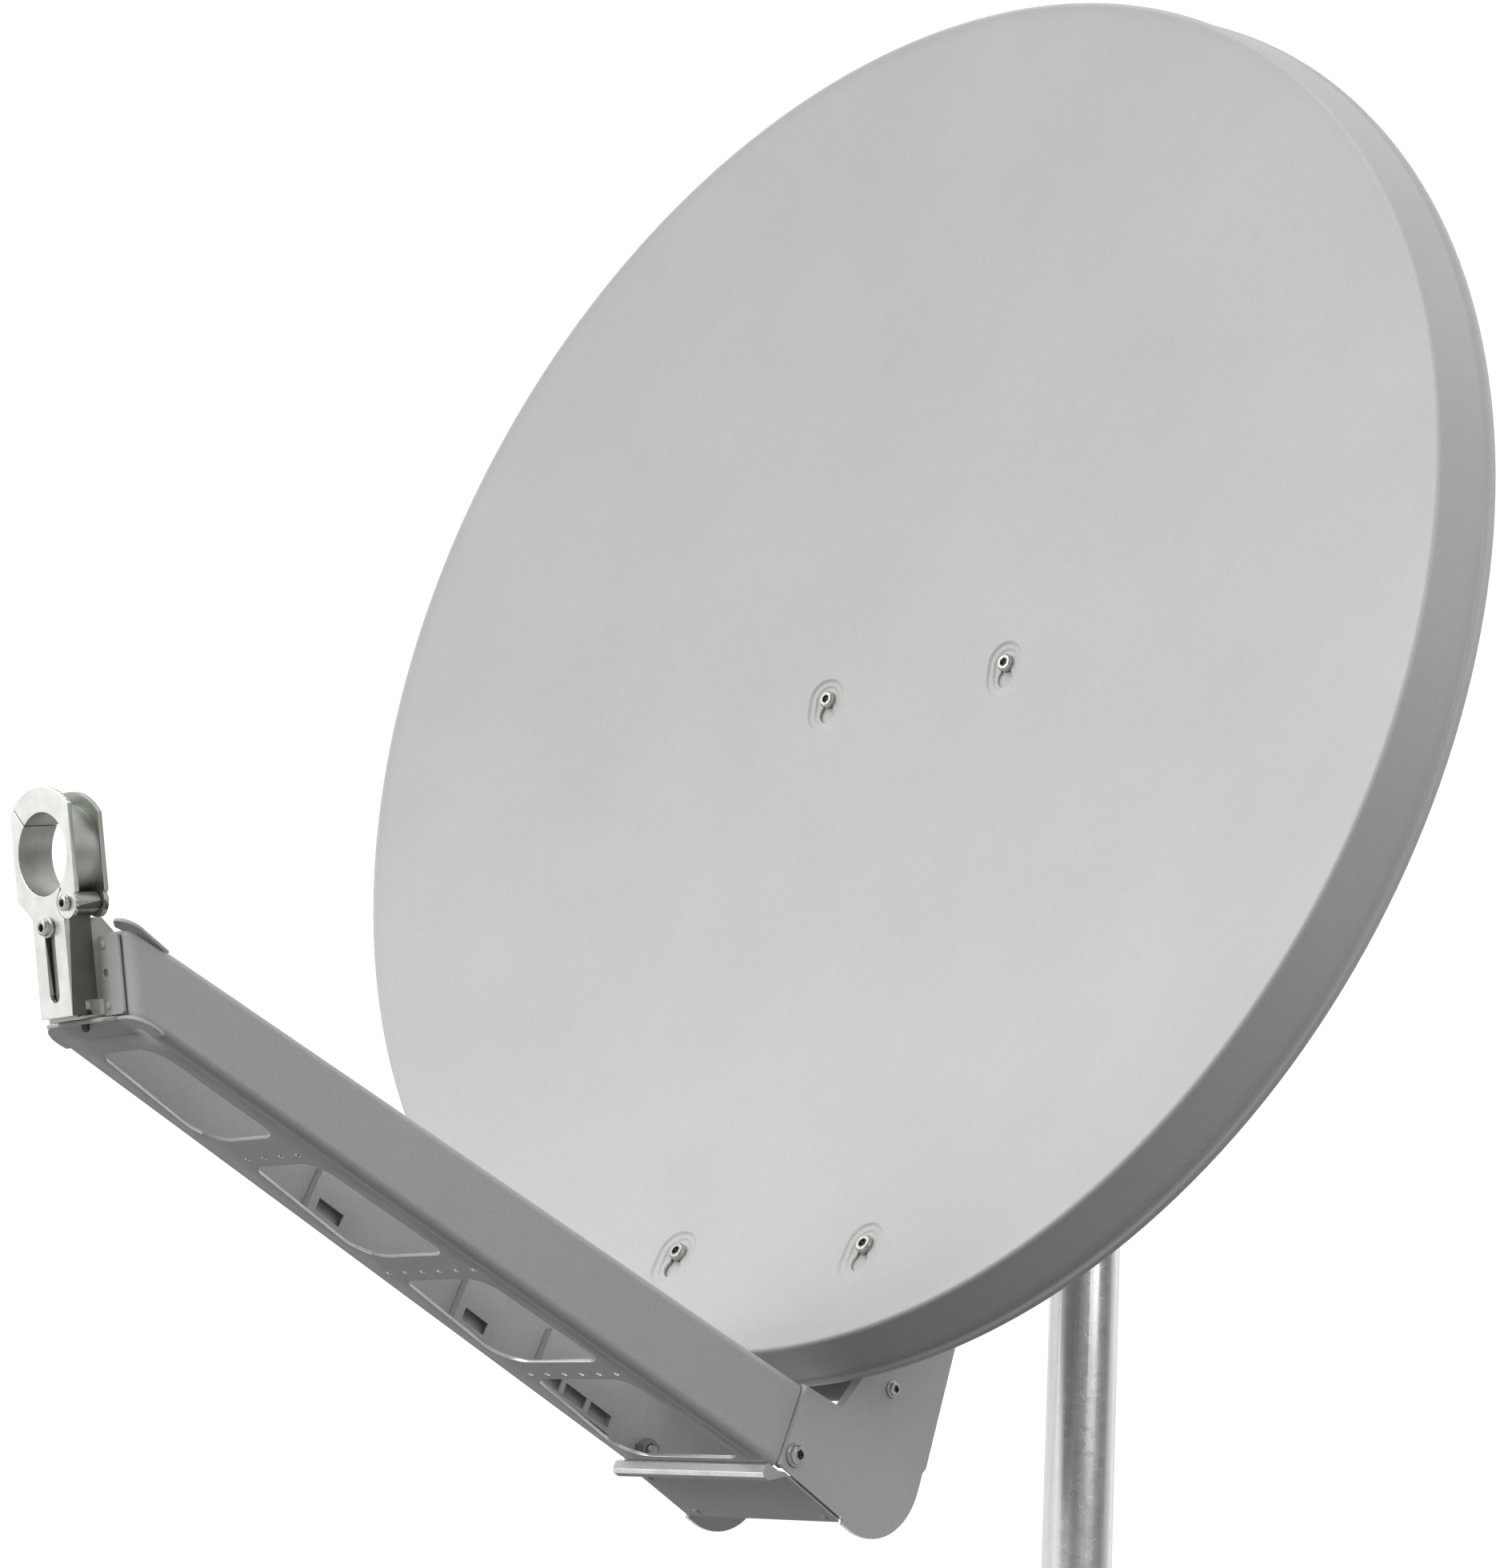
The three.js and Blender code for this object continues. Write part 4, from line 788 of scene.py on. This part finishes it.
# ------------------------------------------------------------ side plates
CHEEK_INNER, CHEEK_OUTER = 59.6, 62
BAR_BEHIND = 21.8  # from the bowl's front skin to the rear edges of the cross bars
BAR_GRIP = 23  # half height of each straight that the bars stand on
NOTCH = ((-26, -471), (-10, -453))  # the gap that the reflector's rim passes through
LOCK_RADIUS = 60
LOCK_ANGLES = (15, 65)  # ends of the lock bolt's slot, round the pivot
PIVOT_HOLE = 5.3
TIE_SCREW = (16, -457)
TIE_HOLE = 3.4
FOLD_SHEET = 2.4
NOTCH_FOLD = 4.1  # how far the folds reach in from the plate's inside
FLOOR_FOLD = 13.6


def behind_bar(up, along):
    """A point on the plane of a cross bar's rear edges, seen from the rim's centre."""
    lean = bowl_lean(0, up) + FACE_TILT
    depth = bowl_depth(0, up)
    middle_y = depth * math.cos(FACE_TILT) + up * math.sin(FACE_TILT)
    middle_z = up * math.cos(FACE_TILT) - depth * math.sin(FACE_TILT)
    return (middle_y + BAR_BEHIND * math.cos(lean) + along * math.sin(lean),
            middle_z - BAR_BEHIND * math.sin(lean) + along * math.cos(lean))


def cheek_outline():
    """Outline of a side plate in (y, z)."""
    upper, lower = BOLT_UPS["upper"], BOLT_UPS["lower"]
    corners = [
        FLOOR_FRONT,
        FLOOR_REAR,
        (FLOOR_REAR[0] - 0.6, FLOOR_REAR[1] - 3),
        (28, -557.5, 42),
        (46, -502.5, 1),
        (49, -499.5, 1),
        (116, -285, 45),
        (214, -262, 27),
        (212, -196, 27),
        (136, -110, 30),
        (134, 26, 8),
        behind_bar(upper, BAR_GRIP),
        behind_bar(upper, -BAR_GRIP),
        behind_bar(lower, BAR_GRIP),
        behind_bar(lower, -BAR_GRIP),
        NOTCH[1],
        (*NOTCH[0], 2),
        from_arm(CHEEK_EDGE, ARM_HEEL[1] - 1.5),
    ]
    return rounded([(*corner, 0)[:3] for corner in corners], 16)


def swung(centre, degrees, radius):
    """A point round a centre; 0 degrees is ahead of it and 90 above it."""
    angle = math.radians(degrees)
    return centre[0] - radius * math.cos(angle), centre[1] + radius * math.sin(angle)


def lock_slot(half=4.6, steps=24, end_steps=10):
    """The arc that the elevation lock runs in, with round ends."""
    first, last = LOCK_ANGLES

    def side(start, end, radius):
        return [swung(PIVOT_AT, degrees, radius) for degrees in np.linspace(start, end, steps)]

    def round_end(at, start):
        middle = swung(PIVOT_AT, at, LOCK_RADIUS)
        return [swung(middle, start + 180 * i / end_steps, half) for i in range(1, end_steps)]

    outer = side(first, last, LOCK_RADIUS + half) + round_end(last, last)
    return outer + side(last, first, LOCK_RADIUS - half) + round_end(first, first + 180)


def build_cheek(side, name):
    """A side plate with a fold behind its notch and another along the floor."""
    arm_hole = circle(*from_arm(*ARM_BOLT), ARM_BOLT_HOLE)
    holes = [circle(*PIVOT_AT, PIVOT_HOLE), circle(*TIE_SCREW, TIE_HOLE), arm_hole, lock_slot()]
    pieces = [plate_points(cheek_outline(), holes, CHEEK_INNER, CHEEK_OUTER)]
    root = CHEEK_INNER + 0.5  # the folds start inside the plate
    edge = [behind_bar(BOLT_UPS["lower"], -BAR_GRIP), NOTCH[1], (NOTCH[0][0] + 1, NOTCH[0][1] + 1)]
    back = [(y + FOLD_SHEET, z - 0.6) for y, z in reversed(edge)]
    pieces.append(plate_points(edge + back, [], CHEEK_INNER - NOTCH_FOLD, root))
    floor = [floor_line(FLOOR_FRONT[0] + 16), FLOOR_REAR]
    top = [(y, z + FOLD_SHEET) for y, z in reversed(floor)]
    pieces.append(plate_points(floor + top, [], CHEEK_INNER - FLOOR_FOLD, root))
    points, faces = merged(*pieces)
    mesh = solid_mesh(name, [(side * x, y, z) for y, z, x in points], faces, RIM)
    plate = finish_mesh(name + "_fine", mesh, "dish_frame", ARM_PAINT, [name])

    # Painted highlight: the plate's lower edges get the bright edge colour.
    def lower_edge_highlight(centre, normal):
        return abs(centre.x) > (CHEEK_INNER + 0.6) * MM and normal.z < -0.5

    recolour(plate, CUT_EDGE_HIGHLIGHT, lower_edge_highlight)


# ------------------------------------------------------------ rivets
def dome(place, radius):
    """A rivet's head standing on its place's XY plane."""
    rows = [[(*p, height) for p in circle(0, 0, radius * share, 20)]
            for height, share in ((-0.4, 1), (0.25, 1), (0.65, 0.8), (0.85, 0.45))]
    points, faces = capped(rows)
    return [tuple(place @ Vector(p)) for p in points], faces


def build_rivets():
    """Rivets on the nose's strips and under the floor plate."""
    front = turned(math.pi / 2)
    nose = [dome(Matrix.Translation((x, 16.4, z)) @ front, 2.1) for x in (-19, 19) for z in (-46, -75)]
    mesh = solid_mesh("nose_rivets", *merged(*nose), RING)
    finish_mesh("nose_rivets", mesh, "dish_frame", ARM_PAINT, angle=50)
    under = []
    for x, y in ((-53.5, -60.5), (-47, -27), (52.7, -26)):
        place = Matrix.Translation((x, *floor_line(y, 0.4 + ARM_SHEET)))
        under.append(dome(place @ turned(math.pi + math.atan(FLOOR_SLOPE)), 2.2))
    mesh = solid_mesh("floor_rivets", *merged(*under), RIM)
    finish_mesh("floor_rivets", mesh, "dish_frame", ARM_PAINT, angle=50)


# ------------------------------------------------------------ mast
MAST_WALL = 2.5


def build_mast():
    """The mast's tube, with softened ends."""
    low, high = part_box("mast_tube")
    radius = (high.x - low.x) / 2
    bore = radius - MAST_WALL * MM
    soft = 0.5 * MM
    section = [(radius - soft, low.z), (radius, low.z + soft)]
    section += [(radius, high.z - soft), (radius - soft, high.z)]
    section += [(bore + soft, high.z), (bore, high.z - soft), (bore, low.z + soft), (bore + soft, low.z)]
    points, faces = from_grid([[(*p, z) for p in circle(0, 0, r, 96)] for r, z in section])
    mesh = solid_mesh("mast_fine", points, faces, Matrix.Identity(4))
    finish_mesh("mast_tube_fine", mesh, "mast", GALVANISED, ["mast_tube"], angle=35)


# ------------------------------------------------------------ fasteners
def spindle(node):
    """The axis of a turned CAD node, head first: (head end, direction, [(along, radius), ...])."""
    mesh = frame["nodes"][node].data
    points = np.array([v.co for v in mesh.vertices])
    middle = points.mean(0)
    _, _, directions = np.linalg.svd(points - middle)
    along = directions[0]
    reach = (points - middle) @ along
    wide = np.linalg.norm(points - middle - np.outer(reach, along), axis=1)
    if reach[np.argmax(wide)] > 0:
        along, reach = -along, -reach
    start = middle + along * reach.min()
    stations = sorted({(round(float(a - reach.min()) / MM, 2), round(float(r) / MM, 2))
                       for a, r in zip(reach, wide)})
    return Vector(start), Vector(along), stations


def in_order(stations):
    """Stations of a turned outline in the order that a line round it meets them."""
    ordered = []
    levels = sorted({along for along, _ in stations})
    previous = 0
    for level in levels:
        radii = sorted((r for along, r in stations if along == level), key=lambda r: abs(r - previous))
        ordered += [(level, r) for r in radii]
        previous = ordered[-1][1]
    return [station for station in ordered if station[1] > 0.05]


SCREW_SIDES = 48
SOCKET_SHARE = 0.55  # a socket's width, as a share of its head's
SOCKET_DEPTH = 2.2  # at most


def screw_points(stations, socket, socket_depth):
    """A turned screw with a six-sided socket in its head."""
    def ring(along, radius, six_sided=False):
        row = []
        for i in range(SCREW_SIDES):
            angle = 2 * math.pi * i / SCREW_SIDES
            flat = math.cos(((angle + math.pi / 6) % (math.pi / 3)) - math.pi / 6) if six_sided else 1
            row.append((radius / flat * math.cos(angle), radius / flat * math.sin(angle), along))
        return row

    rows = [ring(socket_depth, socket, True), ring(0.15, socket, True), ring(0, socket + 0.25, True)]
    rows += [ring(along, radius) for along, radius in in_order(stations)]
    return capped(rows)


def build_screw(node, shift=0.0):
    """A smooth screw in place of the CAD's; shift moves it along its axis, in mm."""
    start, along, stations = spindle(node)
    head = max(radius for reach, radius in stations if reach == stations[0][0])
    socket = head * SOCKET_SHARE
    depth = min(SOCKET_DEPTH, stations[-1][0] / 5)
    facing = along.to_track_quat("Z", "Y").to_matrix().to_4x4()
    place = Matrix.Translation(start + along * shift * MM) @ facing @ Matrix.Scale(MM, 4)
    mesh = solid_mesh(node, *screw_points(stations, socket, depth), place)
    body = frame["nodes"][node]["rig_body"]
    item = finish_mesh(node + "_fine", mesh, body, ZINC, [node], bevel=0.25)

    def in_shaded_socket(centre, normal):
        point = place.inverted() @ centre
        return math.hypot(point.x, point.y) < socket + 0.1 and point.z < depth + 0.1

    # Painted shade: the socket's faces get the near-black socket colour.
    recolour(item, SOCKET_SHADE_AND_DARK_SCREW, in_shaded_socket)


def build_fasteners():
    """Every screw, bolt and nut of the frame."""
    for name in sorted(frame["nodes"]):
        if name.startswith("arm_nut"):
            refined(name, BRACKET_PAINT, bevel=0.5)
        elif "nut" in name:
            refined(name, ZINC, bevel=0.5)
        elif name.startswith("dish_bolt"):
            build_screw(name, shift=PAD_DEPTH + 1)  # down into its pressed pad
        elif name == "foot_screw":
            # The whole foot screw gets the same near-black colour as the sockets.
            recolour(refined(name, ZINC), SOCKET_SHADE_AND_DARK_SCREW, lambda centre, normal: True)
        elif "bolt" in name or "screw" in name:
            build_screw(name)


# ------------------------------------------------------------ folded parts kept from the frame
RING_PLATE = 2.5  # thickness of the clamp ring's bright front plate
STEM_TOP = -26  # where the stem meets the ring


def shaded_behind_ring_plate(centre, normal):
    """True for everything behind the clamp ring's front plate, which gets the darker cast-metal colour as
    painted shade.
    """
    return (RING.inverted() @ centre).y > RING_PLATE / 2


def on_shaded_stem_side(centre, normal):
    """True for the sides of the stem below the ring, which get a near-black painted shade."""
    point = RING.inverted() @ centre
    return point.y > RING_PLATE / 2 and point.z < STEM_TOP and abs(normal.x) > 0.8


def build_folded_parts():
    """The frame's other parts, with rounded edges and their materials."""
    for name in ("arm_cable_plate_1", "arm_cable_plate_2", "arm_cable_plate_3"):
        refined(name, ARM_PAINT, bevel=0.3)
    for name in ("nose_strip_left", "nose_strip_right"):
        refined(name, ARM_PAINT, bevel=0.4, segments=3)
    for name in ("cross_bar_upper", "cross_bar_lower"):
        refined(name, DISH_PAINT, bevel=0.6)
    for name in ("mast_yoke", "tie_tube"):
        refined(name, BRACKET_PAINT, bevel=0.6)
    for name in ("clamp_saddle_upper", "clamp_saddle_lower", "clamp_jaw_upper", "clamp_jaw_lower"):
        refined(name, ZINC, bevel=0.4)
    refined("feed_bracket", CAST_AND_RING_SHADE, bevel=0.4)
    for name in ("ring_stem", "ring_cap"):
        item = refined(name, BRIGHT, bevel=0.2)
        # Painted shade: the ring's parts behind its bright front plate get the darker cast-metal colour, and
        # the stem's sides a near-black one.
        recolour(item, CAST_AND_RING_SHADE, shaded_behind_ring_plate)
        recolour(item, STEM_SIDE_SHADE, on_shaded_stem_side)


build_reflector()
build_bar_seats()
build_arm()
build_floor_plate()
build_cheek(-1, "side_plate_left")
build_cheek(1, "side_plate_right")
build_rivets()
build_mast()
build_fasteners()
build_folded_parts()


# ------------------------------------------------------------ stage
def build_floor():
    """A plain pale floor at the mast's foot."""
    bpy.ops.mesh.primitive_plane_add(size=4, location=(0, 0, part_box("mast_tube")[0].z))
    floor = bpy.context.object
    floor.name = "studio_floor"
    pale = Nodes("studio_floor")
    tone = pale.mix(pale.noise(3), (0.60, 0.60, 0.60), (0.64, 0.64, 0.64))
    pale.link(tone, pale.shader.inputs["Base Color"])
    pale.set(Roughness=0.7)
    floor.data.materials.append(pale.material)
    floor.visible_diffuse = False  # the undersides stay as dark as in a deep studio


def soft_light(name, position, target, size, power):
    """A white panel of light that faces its target."""
    light = bpy.data.lights.new(name, "AREA")
    light.shape = "RECTANGLE"
    light.size, light.size_y = size
    light.energy = power
    lamp = bpy.data.objects.new(name, light)
    lamp.location = position
    lamp.rotation_euler = (Vector(target) - Vector(position)).to_track_quat("-Z", "Y").to_euler()
    bpy.context.scene.collection.objects.link(lamp)


def build_world():
    """A white studio, darker below and on the side away from the windows."""
    world = bpy.data.worlds.new("studio")
    world.use_nodes = True
    tree = world.node_tree
    background = tree.nodes["Background"]
    towards = tree.nodes.new("ShaderNodeTexCoord").outputs["Generated"]
    dot = tree.nodes.new("ShaderNodeVectorMath")
    dot.operation = "DOT_PRODUCT"
    dot.inputs[1].default_value = Vector((-0.80, 0.42, 0.42)).normalized()
    tree.links.new(towards, dot.inputs[0])
    ramp = tree.nodes.new("ShaderNodeValToRGB")
    stops = ramp.color_ramp.elements
    stops[0].position, stops[0].color = 0.30, (0.20, 0.205, 0.21, 1)
    stops[1].position, stops[1].color = 0.62, (1.05, 1.05, 1.05, 1)
    spread = tree.nodes.new("ShaderNodeMapRange")
    spread.inputs["From Min"].default_value = -1
    tree.links.new(dot.outputs["Value"], spread.inputs["Value"])
    tree.links.new(spread.outputs["Result"], ramp.inputs["Fac"])
    parts = tree.nodes.new("ShaderNodeSeparateXYZ")
    tree.links.new(towards, parts.inputs["Vector"])
    below = tree.nodes.new("ShaderNodeMapRange")
    for name, value in (("From Min", -0.3), ("From Max", -0.05), ("To Min", 0.3), ("To Max", 1.0)):
        below.inputs[name].default_value = value
    tree.links.new(parts.outputs["Z"], below.inputs["Value"])
    tree.links.new(ramp.outputs["Color"], background.inputs["Color"])
    tree.links.new(below.outputs["Result"], background.inputs["Strength"])
    bpy.context.scene.world = world


CAMERA_FROM_RIM = (1205.2, -1301.9, -559.9)
CAMERA_LENS = 68.40
CAMERA_TURNS = (44.249, 14.691, 3.366)  # pan, tilt and roll, in degrees


def build_camera():
    """The photograph's point of view."""
    lens = bpy.data.cameras.new("camera")
    lens.lens = CAMERA_LENS
    lens.sensor_width = lens.sensor_height = 36
    lens.sensor_fit = "VERTICAL"
    camera = bpy.data.objects.new("camera", lens)
    camera.location = RIM_CENTRE + Vector(CAMERA_FROM_RIM) * MM
    pan, tilt, roll = (math.radians(angle) for angle in CAMERA_TURNS)
    facing = Euler((0, 0, pan)).to_matrix() @ Euler((math.pi / 2 + tilt, 0, 0)).to_matrix()
    camera.rotation_euler = (facing @ Euler((0, 0, roll)).to_matrix()).to_euler()
    bpy.context.scene.collection.objects.link(camera)
    bpy.context.scene.camera = camera


build_floor()
build_world()
soft_light("key", (-1.6, -2.6, 2.6), (0, -0.3, 0.65), (2.2, 2.2), 22)
soft_light("front", (-0.6, -3.0, 0.9), (0, -0.3, 0.4), (1.2, 0.4), 22)
soft_light("fill", (3.0, -0.9, 1.5), (0, -0.3, 0.5), (1.6, 1.6), 29)
build_camera()
bpy.context.scene.view_settings.view_transform = "Standard"
